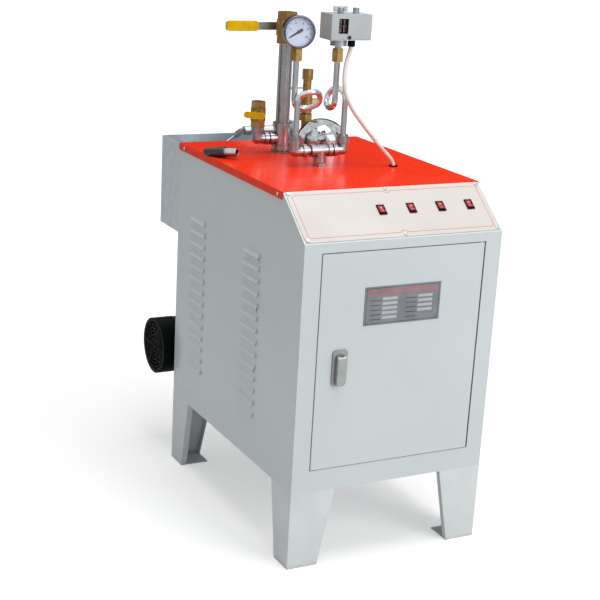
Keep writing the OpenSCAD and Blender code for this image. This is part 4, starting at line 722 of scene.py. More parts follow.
def soften(node: str, width: float, segments: int = 2, finish: Finish | None = None,
           sharp: float = 32.0) -> bpy.types.Object:
    """Replaces a CAD node by its own shape with rounded edges.

    Args:
        node: The CAD node.
        width: Width of the rounding, in millimetres.
        segments: Steps across the rounding.
        finish: Its surface, if it isn't the node's own.
        sharp: Edges sharper than this angle are rounded, in degrees.

    Returns:
        The finished piece.
    """
    piece = Bench.from_node(node)
    Bench.modify(piece, "BEVEL", width=width * MM, segments=segments, limit_method="ANGLE",
                 angle_limit=math.radians(sharp), use_clamp_overlap=True, harden_normals=False)
    Bench.edit(piece, lambda: bpy.ops.mesh.remove_doubles(threshold=WELD))
    Bench.smooth(piece, FOLD_ANGLE)
    Bench.modify(piece, "WEIGHTED_NORMAL", mode="FACE_AREA", weight=100, keep_sharp=True)
    return Bench.finish(piece, node + "_dressed", BODY_OF[node], finish or NODE_FINISH[node],
                        SLOTS[node], [node])


def islands(node: str) -> list[tuple[Vector, Vector]]:
    """Boxes of the loose parts of a CAD node.

    Args:
        node: The CAD node.

    Returns:
        The lowest and the highest corner of each part.
    """
    work = bmesh.new()
    work.from_mesh(frame["nodes"][node].data)
    bmesh.ops.remove_doubles(work, verts=work.verts, dist=WELD)
    left = set(work.verts)
    found = []
    while left:
        queue = [left.pop()]
        part = []
        while queue:
            vert = queue.pop()
            part.append(vert.co.copy())
            for edge in vert.link_edges:
                other = edge.other_vert(vert)
                if other in left:
                    left.remove(other)
                    queue.append(other)
        low = Vector([min(p[i] for p in part) for i in range(3)])
        high = Vector([max(p[i] for p in part) for i in range(3)])
        found.append((low, high))
    work.free()
    return found


@dataclass
class Cabinet:
    """Folded steel cabinet on four legs, with its red cover and its screws."""

    recess: float = 2.8
    recess_w: float = 0.6
    recess_t: float = 0.12
    head_top: float = 3.2
    head_max: float = 9.0
    clear: float = 0.02
    middle_x: float = 200.0
    side_up: Point = (0.0, 0.3, 1.0)

    def build(self) -> None:
        """Rounds every fold and paints shade on each screw as a dark grey cross for its recess."""
        soften("front_frame", 1.3, 3)
        soften("left_side_panel", 0.8)
        soften("right_side_panel", 0.8)
        soften("rear_panel", 1.0)
        soften("base_pan", 0.8)
        soften("corner_legs", 1.0)
        soften("top_cover", 1.4, 3)
        soften("panel_screws", 0.9, 3)
        self._recesses()

    def _recesses(self) -> None:
        """Dark grey cross on the middle of every screw's head, painted shade that stands for its
        cross recess.
        """
        cross = Bench.join([
            Bench.block((self.recess * MM, self.recess_w * MM, self.recess_t * MM), (0, 0, 0)),
            Bench.block((self.recess_w * MM, self.recess * MM, self.recess_t * MM), (0, 0, 0))])
        copies = []
        for low, high in islands("panel_screws"):
            middle = (low + high) / 2
            if high.x - low.x < self.head_max * MM:
                along = (middle - at(0, 0, FACE_TOP)).dot(UP_SLOPE) / MM
                place = on_slope((middle.x - CORNER.x) / MM, along, self.head_top + self.clear)
            else:
                left = middle.x < CORNER.x + self.middle_x * MM
                end = low.x - self.clear * MM if left else high.x + self.clear * MM
                way = Vector((-1 if left else 1, 0, 0))
                place = seat(Vector((end, middle.y, middle.z)), way, Vector(self.side_up))
            twin = Bench.copy(cross)
            Bench.place(twin, place)
            copies.append(twin)
        bpy.data.objects.remove(cross)
        Bench.finish(Bench.join(copies), "screw_recess_shade", ROOT, RECESS_SHADE_GREY, "steel")


@dataclass
class Console:
    """White overlay with its red border line, and four lit rocker switches."""

    plate_top: float = 1.2
    inset: float = 12.0
    width: float = 400.0
    slope_len: float = 117.614
    screw_in: float = 8.0
    notch: float = 8.5
    corner_steps: int = 6
    dip_steps: int = 8
    line_w: float = 1.1
    first: float = 173.5
    gap: float = 61.0
    centre: float = 63.5
    tilt: float = -8.0
    half: float = 7.7
    crown: float = 4.6
    dip: float = 2.6
    line_flat: float = 0.16
    bar_w: float = 0.7
    bar_len: float = 2.8
    bar_t: float = 0.16
    bar_edge: float = 0.05
    ring_r: float = 1.2
    ring_wire: float = 0.32
    ring_flat: float = 0.3
    rocker_sink: float = -0.3

    def build(self) -> None:
        """Builds the border and dresses the switches."""
        soften("console_panel", 0.35)
        self._border()
        soften("switch_housings", 0.45)
        for number in range(4):
            soften(f"switch_rocker_{number + 1}", 0.45, 3)
            self._marks(number)

    def _outline(self) -> list[Vector]:
        """Closed line inside the overlay's edge that steps round each screw.

        Returns:
            Its points in millimetres, on the overlay.
        """
        low_s, high_s = self.inset, self.slope_len - self.inset
        low_x, high_x = self.inset, self.width - self.inset
        points = []
        corners = ((0, 0, 0), (1, 0, 90), (1, 1, 180), (0, 1, 270))
        for right, top, start in corners:
            centre = Vector((self.width - self.screw_in if right else self.screw_in,
                             self.slope_len - self.screw_in if top else self.screw_in, 0))
            lean = math.asin((self.inset - self.screw_in) / self.notch)
            for step in range(self.corner_steps + 1):
                share = step / self.corner_steps
                angle = math.radians(90) - lean - (math.radians(90) - 2 * lean) * share
                angle += math.radians(start)
                points.append(centre + self.notch * Vector((math.cos(angle), math.sin(angle), 0)))
            if start in (0, 180):
                middle = Vector((self.width / 2, self.screw_in if start == 0 else
                                 self.slope_len - self.screw_in, 0))
                for step in range(self.dip_steps + 1):
                    share = step / self.dip_steps
                    turn = math.radians(180) - lean - (math.pi - 2 * lean) * share
                    turn += math.radians(start)
                    points.append(middle + self.notch * Vector((math.cos(turn), math.sin(turn), 0)))
        return [Vector((min(max(p.x, low_x), high_x), min(max(p.y, low_s), high_s), 0))
                for p in points]

    def _border(self) -> None:
        """Thin printed line round the overlay."""
        data = bpy.data.curves.new("border", "CURVE")
        data.dimensions = "3D"
        data.bevel_depth = self.line_w / 2 * MM
        data.bevel_resolution = 1
        spline = data.splines.new("POLY")
        outline = self._outline()
        spline.points.add(len(outline) - 1)
        for point, place in zip(spline.points, outline):
            point.co = (*(place * MM), 1.0)
        spline.use_cyclic_u = True
        line = bpy.data.objects.new("border", data)
        bpy.context.scene.collection.objects.link(line)
        Bench.pick(line)
        bpy.ops.object.convert(target="MESH")
        line = bpy.context.object
        Bench.edit(line, lambda: bpy.ops.transform.resize(value=(1, 1, self.line_flat)))
        Bench.clean(line)
        Bench.place(line, on_slope(0, 0, self.plate_top))
        Bench.finish(line, "console_border", ROOT, BORDER_RED, "painted_white")

    def _marks(self, number: int) -> None:
        """Generic line and ring on the two halves of a rocker.

        Args:
            number: The rocker, counted from 0 at the left.
        """
        middle = on_slope(self.first + self.gap * number, self.centre, self.rocker_sink)
        rocker = middle @ Matrix.Rotation(math.radians(self.tilt), 4, "X")
        lean = math.atan2(self.crown - self.dip, self.half)
        height = (self.crown + self.dip) / 2
        bar = Bench.block((self.bar_w * MM, self.bar_len * MM, self.bar_t * MM), (0, 0, 0))
        Bench.modify(bar, "BEVEL", width=self.bar_edge * MM, segments=1)
        Bench.place(bar, rocker @ Matrix.Translation((0, -self.half / 2 * MM, height * MM))
                    @ Matrix.Rotation(-lean, 4, "X"))
        bpy.ops.object.select_all(action="DESELECT")
        bpy.ops.mesh.primitive_torus_add(
            major_radius=self.ring_r * MM, minor_radius=self.ring_wire * MM,
            major_segments=24, minor_segments=6)
        ring = bpy.context.object
        Bench.edit(ring, lambda: bpy.ops.transform.resize(value=(1, 1, self.ring_flat)))
        Bench.place(ring, rocker @ Matrix.Translation((0, self.half / 2 * MM, height * MM))
                    @ Matrix.Rotation(lean, 4, "X"))
        Bench.finish(Bench.join([bar, ring]), f"rocker_marks_{number + 1}",
                     f"rocker_{number + 1}", PRINT_WHITE, "red_plastic")


@dataclass
class DoorDress:
    """Door with its lock and its plain plate of ruled, empty fields."""

    plate_w: float = 155.0
    plate_h: float = 70.0
    plate_x: float = 200.0
    plate_z: float = 485.5
    plate_y: float = -1.8
    rows: int = 5
    row_gap: float = 8.6
    column: float = 36.0
    field_w: float = 30.0
    field_h: float = 5.0
    field_in: float = 10.0
    field_top: float = 12.0
    field_t: float = 0.1
    field_edge: float = 0.04
    caption_w: float = 22.0
    caption_h: float = 1.1
    caption_in: float = -19.0
    caption_top: float = 9.6
    frame_w: float = 0.7
    frame_in_x: float = 3.5
    frame_in_z: float = 3.0
    head_h: float = 1.6
    head_in: float = 6.0
    head_t: float = 0.09
    head_lines: tuple[float, float] = (20.0, 28.0)
    print_t: float = 0.08
    end_round: float = 6.0
    end_steps: int = 8
    end_reach: float = 0.5
    same_x: float = 0.1
    least_y: float = 1.0
    grip_round: float = 1.3
    grip_angle: float = 40.0

    def build(self) -> None:
        """Rounds the door and the lock, and rules the plate."""
        soften("door_panel", 1.4, 3)
        soften("lock_housing", 0.9, 3)
        soften("lock_spindle", 0.5)
        self._handle()
        soften("rating_plate", 0.25)
        self._fields()
        self._rules()

    def _handle(self) -> None:
        """Lock handle: the node's own shape with a round lower end and soft edges."""
        piece = Bench.from_node("lock_handle")
        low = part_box("lock_handle")[0]
        work = bmesh.new()
        work.from_mesh(piece.data)
        ends = [edge for edge in work.edges
                if all(vert.co.z < low.z + self.end_reach * MM for vert in edge.verts)
                and abs(edge.verts[0].co.x - edge.verts[1].co.x) < self.same_x * MM
                and abs(edge.verts[0].co.y - edge.verts[1].co.y) > self.least_y * MM]
        bmesh.ops.bevel(work, geom=ends, offset=self.end_round * MM, segments=self.end_steps,
                        affect="EDGES", profile=0.5)
        work.to_mesh(piece.data)
        work.free()
        Bench.modify(piece, "BEVEL", width=self.grip_round * MM, segments=4,
                     limit_method="ANGLE", angle_limit=math.radians(self.grip_angle),
                     use_clamp_overlap=True)
        Bench.edit(piece, lambda: bpy.ops.mesh.remove_doubles(threshold=WELD))
        Bench.smooth(piece, FOLD_ANGLE)
        Bench.modify(piece, "WEIGHTED_NORMAL", mode="FACE_AREA", weight=100, keep_sharp=True)
        Bench.finish(piece, "lock_handle_dressed", "lock_handle", LOCK_STEEL,
                     SLOTS["lock_handle"], ["lock_handle"])

    def _plate(self, x: float, z: float, w: float, h: float, out: float) -> bpy.types.Object:
        """Thin raised rectangle on the plate, in millimetres.

        Args:
            x: Its middle, across from the plate's middle.
            z: Its middle, up from the plate's middle.
            w: Its width.
            h: Its height.
            out: How far it stands out.

        Returns:
            The rectangle.
        """
        place = at(self.plate_x + x, self.plate_y - out / 2, self.plate_z + z)
        return Bench.block((w * MM, out * MM, h * MM), place)

    def _fields(self) -> None:
        """Pale empty fields in two columns."""
        first = self._plate(0, 0, self.field_w, self.field_h, self.field_t)
        Bench.modify(first, "BEVEL", width=self.field_edge * MM, segments=1)
        copies = []
        for row in range(self.rows):
            for side in (-1, 1):
                if row == self.rows - 1 and side == 1:
                    continue
                twin = Bench.copy(first)
                Bench.place(twin, Matrix.Translation((
                    (side * self.column + self.field_in) * MM, 0,
                    (self.field_top - row * self.row_gap) * MM)))
                copies.append(twin)
        bpy.data.objects.remove(first)
        Bench.finish(Bench.join(copies), "plate_fields", "door", FIELD_PALE, "rating_metal")

    def _rules(self) -> None:
        """Etched rules: a frame near the edge, two head lines and a short line by each field."""
        in_x, in_z = self.plate_w / 2 - self.frame_in_x, self.plate_h / 2 - self.frame_in_z
        thick, deep = self.frame_w, self.print_t
        rules = [self._plate(0, in_z, 2 * in_x, thick, deep),
                 self._plate(0, -in_z, 2 * in_x, thick, deep),
                 self._plate(-in_x, 0, thick, 2 * in_z, deep),
                 self._plate(in_x, 0, thick, 2 * in_z, deep)]
        for row in range(self.rows):
            for side in (-1, 1):
                rules.append(self._plate(
                    side * self.column + self.caption_in, self.caption_top - row * self.row_gap,
                    self.caption_w, self.caption_h, deep))
        Bench.finish(Bench.join(rules), "plate_rules", "door", PRINT_BLACK, "rating_metal")
        head = Bench.join([
            self._plate(0, height, 2 * in_x - self.head_in, self.head_h, self.head_t)
            for height in self.head_lines])
        Bench.finish(head, "plate_head_lines", "door", BORDER_RED, "rating_metal")


@dataclass
class TopFittings:
    """Pipework on the cover: manifolds, looped siphon tubes, unions and the polished dome."""

    axis_y: float = 286.0
    gauge_x: float = 119.0
    control_x: float = 219.0
    low: float = 718.0
    top: float = 882.0
    middle: float = 798.0
    foot_rises: Sequence[float] = (0.0, 6.0, 14.0, 30.0, 48.0)
    end_drops: Sequence[float] = (56.0, 38.0, 22.0, 11.0, 4.0, 0.0)
    loop_steps: int = 36
    loop_w: float = 50.0
    loop_h: float = 36.0
    siphon_d: float = 11.0
    gauge_step: float = 14.0
    gauge_lean: float = 14.0
    control_step: float = 22.0
    dome_at: Point = (251.0, 430.0, 676.0)
    dome_r: float = 48.0
    dome_skirt: float = 24.0
    dome_rise: float = 38.0
    dome_wall: float = 2.0
    dome_step: int = 5
    tape_in: float = 1.5
    tape_half: float = 1.1
    tape_edge: float = 0.9
    tape_swell: float = 0.25
    joints: Sequence[Point] = (
        (119, 300, 869.2, 6.6), (197, 286, 869.2, 6.6), (119, 286, 717.6, 7.2),
        (219, 286, 717.6, 7.2), (172, 286, 681.6, 9.6), (157, 420, 886.2, 14.6),
        (104, 420, 726.4, 11.6))

    def build(self) -> None:
        """Builds the tubes, the dome and the tape in the joints."""
        soften("front_manifold", 0.7)
        soften("rear_manifold", 0.7)
        soften("siphon_unions", 0.7)
        gauge = self._route(self.gauge_x, Vector((1, 0, 0)), Vector((0, -self.gauge_lean, 0)),
                            Vector((0, self.gauge_step, 0)))
        control = self._route(self.control_x, Vector((0, 1, 0)), Vector((0, 0, 0)),
                              Vector((-self.control_step, 0, 0)))
        for name, route in (("gauge_siphon", gauge), ("control_siphon", control)):
            tube = Bench.tube([at(*p) for p in route], self.siphon_d / 2 * MM, 24)
            Bench.smooth(tube, 50.0)
            Bench.finish(tube, name + "_tube", ROOT, TUBE_CHROME, SLOTS[name], [name])
        self._dome()
        self._tape()

    def _route(self, x: float, side: Vector, lean: Vector, step: Vector) -> list[Vector]:
        """Points of a siphon: up, once round its loop and up again.

        Args:
            x: Place of its lower leg.
            side: Way across its loop.
            lean: How far the loop tips out of its plane.
            step: How far its upper leg stands from the lower one.

        Returns:
            The points in millimetres.
        """
        foot = Vector((x, self.axis_y, self.low))
        mid = Vector((x, self.axis_y, self.middle))
        points = [foot + Vector((0, 0, rise)) for rise in self.foot_rises]
        for i in range(self.loop_steps + 1):
            turn = TURN * i / self.loop_steps
            rise = math.sin(turn)
            points.append(mid + side * (self.loop_w / 2 * (1 - math.cos(turn)))
                          + Vector((0, 0, self.loop_h / 2 * rise)) + lean * rise ** 3
                          + step * (i / self.loop_steps - rise / TURN))
        end = Vector((x, self.axis_y, self.top)) + step
        points += [end - Vector((0, 0, drop)) for drop in self.end_drops]
        return points

    def _dome(self) -> None:
        """Polished inspection dome with a rolled foot."""
        top = self.dome_skirt + self.dome_rise
        outer = [(self.dome_r, 0.0), (self.dome_r, self.dome_skirt - 1.0)]
        outer += self._arc(0.0, range(0, 90, self.dome_step))
        inner = self._arc(self.dome_wall, range(90 - self.dome_step, -self.dome_step,
                                                -self.dome_step))
        profile = outer + [(0.0, top), (0.0, top - self.dome_wall)] + inner
        profile += [(self.dome_r - self.dome_wall, 0.0)]
        dome = Bench.lathe([(r * MM, z * MM) for r, z in profile], 96)
        Bench.place(dome, Matrix.Translation(at(*self.dome_at)))
        Bench.smooth(dome, 40.0)
        Bench.finish(dome, "polished_dome", ROOT, DOME_CHROME, "chrome", ["inspection_dome"])

    def _arc(self, inset: float, degrees: Iterable[int]) -> list[tuple[float, float]]:
        """Part of the dome's outline.

        Args:
            inset: How far it lies inside the dome's skin, in millimetres.
            degrees: Its steps, from the skirt up.

        Returns:
            Radius and height of each step.
        """
        wide, high = self.dome_r - inset, self.dome_rise - inset
        return [(wide * math.cos(math.radians(a)),
                 self.dome_skirt + high * math.sin(math.radians(a))) for a in degrees]

    def _tape(self) -> None:
        """White sealing tape that shows at the threaded joints."""
        rings = []
        for x, y, z, r in self.joints:
            ring = Bench.lathe([
                ((r - self.tape_in) * MM, -self.tape_half * MM), (r * MM, -self.tape_edge * MM),
                ((r + self.tape_swell) * MM, 0.0), (r * MM, self.tape_edge * MM),
                ((r - self.tape_in) * MM, self.tape_half * MM)], 32)
            Bench.place(ring, Matrix.Translation(at(x, y, z)))
            rings.append(ring)
        tape = Bench.join(rings)
        Bench.smooth(tape, 30.0)
        Bench.finish(tape, "joint_tape", ROOT, TAPE_WHITE, "brass")


@dataclass
class Gauge:
    """Pressure gauge: spun case with a bezel, a printed scale and a needle under glass."""

    place: Point = (119.0, 300.0, 923.3)
    turn: float = -14.0
    radius: float = 30.0
    back: float = -10.0
    front: float = 18.0
    dial_top: float = 10.8
    zero: float = 213.0
    sweep: float = 246.0
    steps: int = 10
    neck_r: float = 6.5
    neck_len: float = 30.0
    neck_edge: float = 0.4
    ticks: int = 5
    long_tick: tuple[float, float] = (3.6, 0.8)
    short_tick: tuple[float, float] = (2.0, 0.36)
    tick_t: float = 0.12
    tick_out: float = 21.6
    short_out: float = 22.4
    figure_h: float = 4.8
    figure_out: float = 16.4
    figure_bold: float = 0.2
    tail_len: float = 8.0
    tail_w: float = 2.6
    tip_len: float = 21.5
    tip_w: float = 0.8
    needle_z: float = 11.5
    needle_t: float = 0.7
    needle_edge: float = 0.12
    hub: Sequence[tuple[float, float]] = (
        (0, 11.1), (3.2, 11.1), (3.2, 12.1), (2.5, 12.6), (0, 12.7))
    arbor: Sequence[tuple[float, float]] = ((0, -7.5), (1.0, -7.5), (1.0, 11.3), (0, 11.3))

    def build(self) -> None:
        """Builds the case and the scale."""
        self._case()
        self._scale()
        self._needle()

    def _seat(self) -> Matrix:
        """Place of the gauge, its face along Z.

        Returns:
            The matrix that seats it.
        """
        return (Matrix.Translation(at(*self.place))
                @ Matrix.Rotation(math.radians(self.turn), 4, "Z")
                @ Matrix.Rotation(math.radians(90), 4, "X"))

    def _case(self) -> None:
        """Spun steel case with a rounded bezel, and its square neck."""
        r, b, f = self.radius, self.back, self.front
        profile = [(0, b), (r - 4, b), (r - 2.2, b + 0.8), (r - 1.4, b + 2.6), (r - 1.4, f - 9),
                   (r - 0.6, f - 8.4), (r - 0.2, f - 7.2), (r, f - 5.6), (r, f - 2.4),
                   (r - 0.5, f - 1.0), (r - 1.6, f - 0.2), (r - 2.8, f), (r - 4.0, f - 0.5),
                   (r - 4.5, f - 1.4), (r - 4.5, f - 2.1), (r - 1.55, f - 2.1), (r - 1.55, b + 2.2),
                   (0, b + 1.6)]
        case = Bench.lathe([(x * MM, z * MM) for x, z in profile], 96)
        Bench.place(case, self._seat())
        neck = Bench.disc(self.neck_r * MM, self.neck_len * MM, (0, 0, 0), 32)
        Bench.modify(neck, "BEVEL", width=self.neck_edge * MM, segments=2)
        Bench.place(neck, self._seat() @ Matrix.Translation((0, -self.neck_len / 2 * MM, 0))
                    @ Matrix.Rotation(math.radians(90), 4, "X"))
        piece = Bench.join([case, neck])
        Bench.smooth(piece, FOLD_ANGLE)
        Bench.finish(piece, "gauge_case_spun", ROOT, GAUGE_STEEL, "steel", ["gauge_case"])

    def _needle(self) -> None:
        """Tapered pointer with a broad tail, a raised hub and its arbor."""
        bpy.ops.object.select_all(action="DESELECT")
        bpy.ops.mesh.primitive_plane_add(size=1.0, location=(0, 0, 0))
        pointer = bpy.context.object
        for vert in pointer.data.vertices:
            length, half = ((self.tip_len, self.tip_w) if vert.co.x > 0 else
                            (-self.tail_len, self.tail_w))
            vert.co = (length * MM, math.copysign(half, vert.co.y) * MM, 0)
        Bench.modify(pointer, "SOLIDIFY", thickness=self.needle_t * MM, offset=0)
        Bench.modify(pointer, "BEVEL", width=self.needle_edge * MM, segments=1)
        Bench.place(pointer, Matrix.Translation((0, 0, self.needle_z * MM)))
        hub = Bench.lathe([(r * MM, z * MM) for r, z in self.hub], 32)
        arbor = Bench.lathe([(r * MM, z * MM) for r, z in self.arbor], 16)
        needle = Bench.join([pointer, hub, arbor])
        Bench.place(needle, self._seat() @ Matrix.Rotation(math.radians(self.zero), 4, "Z"))
        Bench.smooth(needle, 30.0)
        Bench.finish(needle, "gauge_pointer", "needle", PRINT_BLACK, SLOTS["gauge_needle"],
                     ["gauge_needle"])

    def _scale(self) -> None:
        """Ticks round the dial with plain figures."""
        flat = self.tick_t * MM
        marks = []
        long_tick, short_tick = (
            Bench.block((length * MM, width * MM, flat), (0, 0, 0))
            for length, width in (self.long_tick, self.short_tick))
        count = self.steps * self.ticks
        for i in range(count + 1):
            angle = math.radians(self.zero - self.sweep * i / count)
            source, reach = ((long_tick, self.tick_out) if i % self.ticks == 0 else
                             (short_tick, self.short_out))
            twin = Bench.copy(source)
            Bench.place(twin, self._seat() @ Matrix.Rotation(angle, 4, "Z")
                        @ Matrix.Translation((reach * MM, 0, self.dial_top * MM)))
            marks.append(twin)
        bpy.data.objects.remove(long_tick)
        bpy.data.objects.remove(short_tick)
        for value in range(0, self.steps + 1, 2):
            angle = math.radians(self.zero - self.sweep * value / self.steps)
            figure = Bench.words(str(value), self.figure_h * MM, flat, self.figure_bold * MM)
            out = self.figure_out * MM
            Bench.place(figure, self._seat() @ Matrix.Translation((
                out * math.cos(angle), out * math.sin(angle), self.dial_top * MM)))
            marks.append(figure)
        Bench.finish(Bench.join(marks), "gauge_scale", ROOT, PRINT_BLACK, "dial_white")


@dataclass
class Controller:
    """Pressure controller: steel box with a scale behind its window and two set screws."""

    left: float = 171.0
    face: float = 267.0
    high: float = 957.0
    window_x: float = 186.0
    window_w: float = 20.0
    window_top: float = 949.0
    window_h: float = 27.0
    stem_x: float = 197.0
    slot_w: float = 4.0
    scale_y: float = 274.6
    scale_t: float = 0.2
    tick_count: int = 11
    tick_gap: float = 2.0
    tick_low: float = 3.5
    tick_long: float = 3.4
    tick_short: float = 2.0
    tick_in: float = 0.4
    tick_w: float = 0.4
    tick_t: float = 0.1
    screw_in: float = 37.8
    screw_z: float = 915.4
    screw: Sequence[tuple[float, float]] = (
        (0, 0), (3.7, 0), (3.7, 1.2), (3.2, 2.0), (1.9, 2.5), (0.7, 2.5), (0.5, 1.6), (0, 1.5))

    def build(self) -> None:
        """Dresses the box, its scale and its screws."""
        soften("control_housing", 1.3, 4)
        soften("control_base", 0.4)
        soften("range_screw", 0.5, 3)
        soften("range_pointer", 0.25)
        soften("diff_screw", 0.6, 3)
        soften("cable_glands", 0.7)
        self._scale()
        self._screw()

    def _scale(self) -> None:
        """Black scale behind the window, with pale ticks on both sides of the slot."""
        low = self.window_top - self.window_h
        middle_z = (low + self.window_top) / 2
        panels, ticks = [], []
        sides = ((self.window_x, self.stem_x - self.slot_w / 2),
                 (self.stem_x + self.slot_w / 2, self.window_x + self.window_w))
        for x0, x1 in sides:
            panels.append(Bench.block(
                ((x1 - x0) * MM, self.scale_t * MM, self.window_h * MM),
                at((x0 + x1) / 2, self.scale_y - self.scale_t / 2, middle_z)))
            for i in range(self.tick_count):
                span = self.tick_long if i % 5 == 0 else self.tick_short
                inset = span / 2 + self.tick_in
                ticks.append(Bench.block(
                    (span * MM, self.tick_t * MM, self.tick_w * MM),
                    at(x1 - inset if x0 == self.window_x else x0 + inset,
                       self.scale_y - self.scale_t - self.tick_t / 2,
                       low + self.tick_low + self.tick_gap * i)))
        Bench.finish(Bench.join(panels), "control_scale", ROOT, PRINT_BLACK, "grey_plastic")
        Bench.finish(Bench.join(ticks), "control_scale_ticks", ROOT, PRINT_WHITE, "grey_plastic")

    def _screw(self) -> None:
        """Blackened screw under the window, with a round recess in its head."""
        head = Bench.lathe([(r * MM, z * MM) for r, z in self.screw], 32)
        Bench.place(head, seat(at(self.left + self.screw_in, self.face, self.screw_z),
                               Vector((0, -1, 0)), Vector((0, 0, 1))))
        Bench.smooth(head, 30.0)
        Bench.finish(head, "control_screw", ROOT, BLACK_PLASTIC, "grey_plastic")


@dataclass
class Valves:
    """Brass ball valves, the safety valve and their handles."""

    cover_z: float = 677.5
    loose_at: tuple[float, float] = (-4.0, 422.0)
    loose_turn: float = -50.0
    tail_d: float = 14.0
    sleeve_d: float = 22.0
    sleeve_len: float = 44.0
    sleeve_past: float = 0.2

    def build(self) -> None:
        """Rounds the castings and the handles."""
        soften("steam_valve_body", 0.9, 3)
        soften("steam_valve_stem", 0.5)
        soften("steam_lever", 0.5)
        soften("lever_grip", 2.4, 5)
        soften("side_valve_body", 0.8, 3)
        soften("side_valve_handle", 1.1, 4)
        soften("safety_valve_body", 0.7, 3)
        soften("safety_valve_lever", 0.5)
        soften("drain_valve_body", 0.8)
        soften("drain_valve_lever", 1.0, 3)
        self._connector()

    def _connector(self) -> None:
        """Loose hose connector: rubber sleeve and a bright tip."""
        piece = soften("hose_connector", 0.9, 3)
        piece.data.materials.append(CHROME.material())
        turn = math.radians(self.loose_turn)
        lift = math.atan((self.sleeve_d - self.tail_d) / 2 / self.sleeve_len)
        way = Vector((math.cos(turn), math.sin(turn), math.tan(lift))).normalized()
        foot = at(*self.loose_at, self.cover_z + self.tail_d / 2)
        for face in piece.data.polygons:
            if (face.center - foot).dot(way) > (self.sleeve_len + self.sleeve_past) * MM:
                face.material_index = 1


@dataclass
class RearUnit:
    """Water tank with its float valve, and the feed pump on its shelf."""

    def build(self) -> None:
        """Rounds the sheet work and the castings."""
        soften("water_tank", 0.8)
        soften("float_valve", 0.6)
        soften("float_arm", 0.4)
        soften("pump_shelf", 1.0)
        soften("pump_head", 1.0, 3)
        soften("motor_housing", 0.5)
        soften("fan_cover", 0.5)
        soften("feed_piping", 0.6)


@dataclass
class Interior:
    """What shows when the door is open: the drum, the switchgear and its plate."""

    def build(self) -> None:
        """Rounds the pieces behind the door."""
        soften("boiler_drum", 0.8)
        soften("electrics_plate", 0.6)
        soften("contactors", 1.0, 3)


@dataclass
class Camera:
    """The photograph's view: a level studio camera up and to the left of the cabinet's front."""

    eye: Point = (-1.25302, -2.33927, 1.18009)
    right: Point = (0.8906, -0.45161, 0.05374)
    up: Point = (0.09232, 0.29523, 0.95096)
    lens_mm: float = 83.738
    sensor_mm: float = 36.0
    shift_up: float = 0.05
    near: float = 0.05
    far: float = 60.0

    def build(self) -> None:
        """Makes the camera and gives it to the scene."""
        data = bpy.data.cameras.new("camera")
        data.lens = self.lens_mm
        data.sensor_width = self.sensor_mm
        data.shift_y = self.shift_up
        data.clip_start = self.near
        data.clip_end = self.far
        camera = bpy.data.objects.new("camera", data)
        bpy.context.scene.collection.objects.link(camera)
        right = Vector(self.right).normalized()
        back = right.cross(Vector(self.up)).normalized()
        up = back.cross(right)
        turn = Matrix((right, up, back)).transposed().to_4x4()
        camera.matrix_world = Matrix.Translation(Vector(self.eye)) @ turn
        bpy.context.scene.camera = camera
        LOG.info("camera with a lens of %.1f mm", self.lens_mm)


@dataclass
class ControlCable:
    """White cable from the controller's gland down into the cover's grommet."""

    diameter: float = 8.0
    length: float = 273.0
    route: Sequence[Point] = (
        (221, 280, 900), (221, 280, 895), (216, 277.5, 884), (208, 272.5, 866), (203, 267, 842),
        (204, 263, 820), (210, 260, 802), (220, 258, 785), (234, 256, 767), (249, 254, 750),
        (264, 252, 733), (279, 250, 716), (293, 249, 702), (304, 249, 692), (310, 249, 684),
        (312, 249, 676), (312, 249, 671))
    sides: int = 16

    def build(self) -> None:
        points = [at(*point) for point in self.route]
        cable = Bench.curve(points, self.diameter * MM / 2, self.sides)
        Bench.finish(cable, "white_control_cable", ROOT, WHITE_PLASTIC, "white_plastic",
                     ["control_cable"])


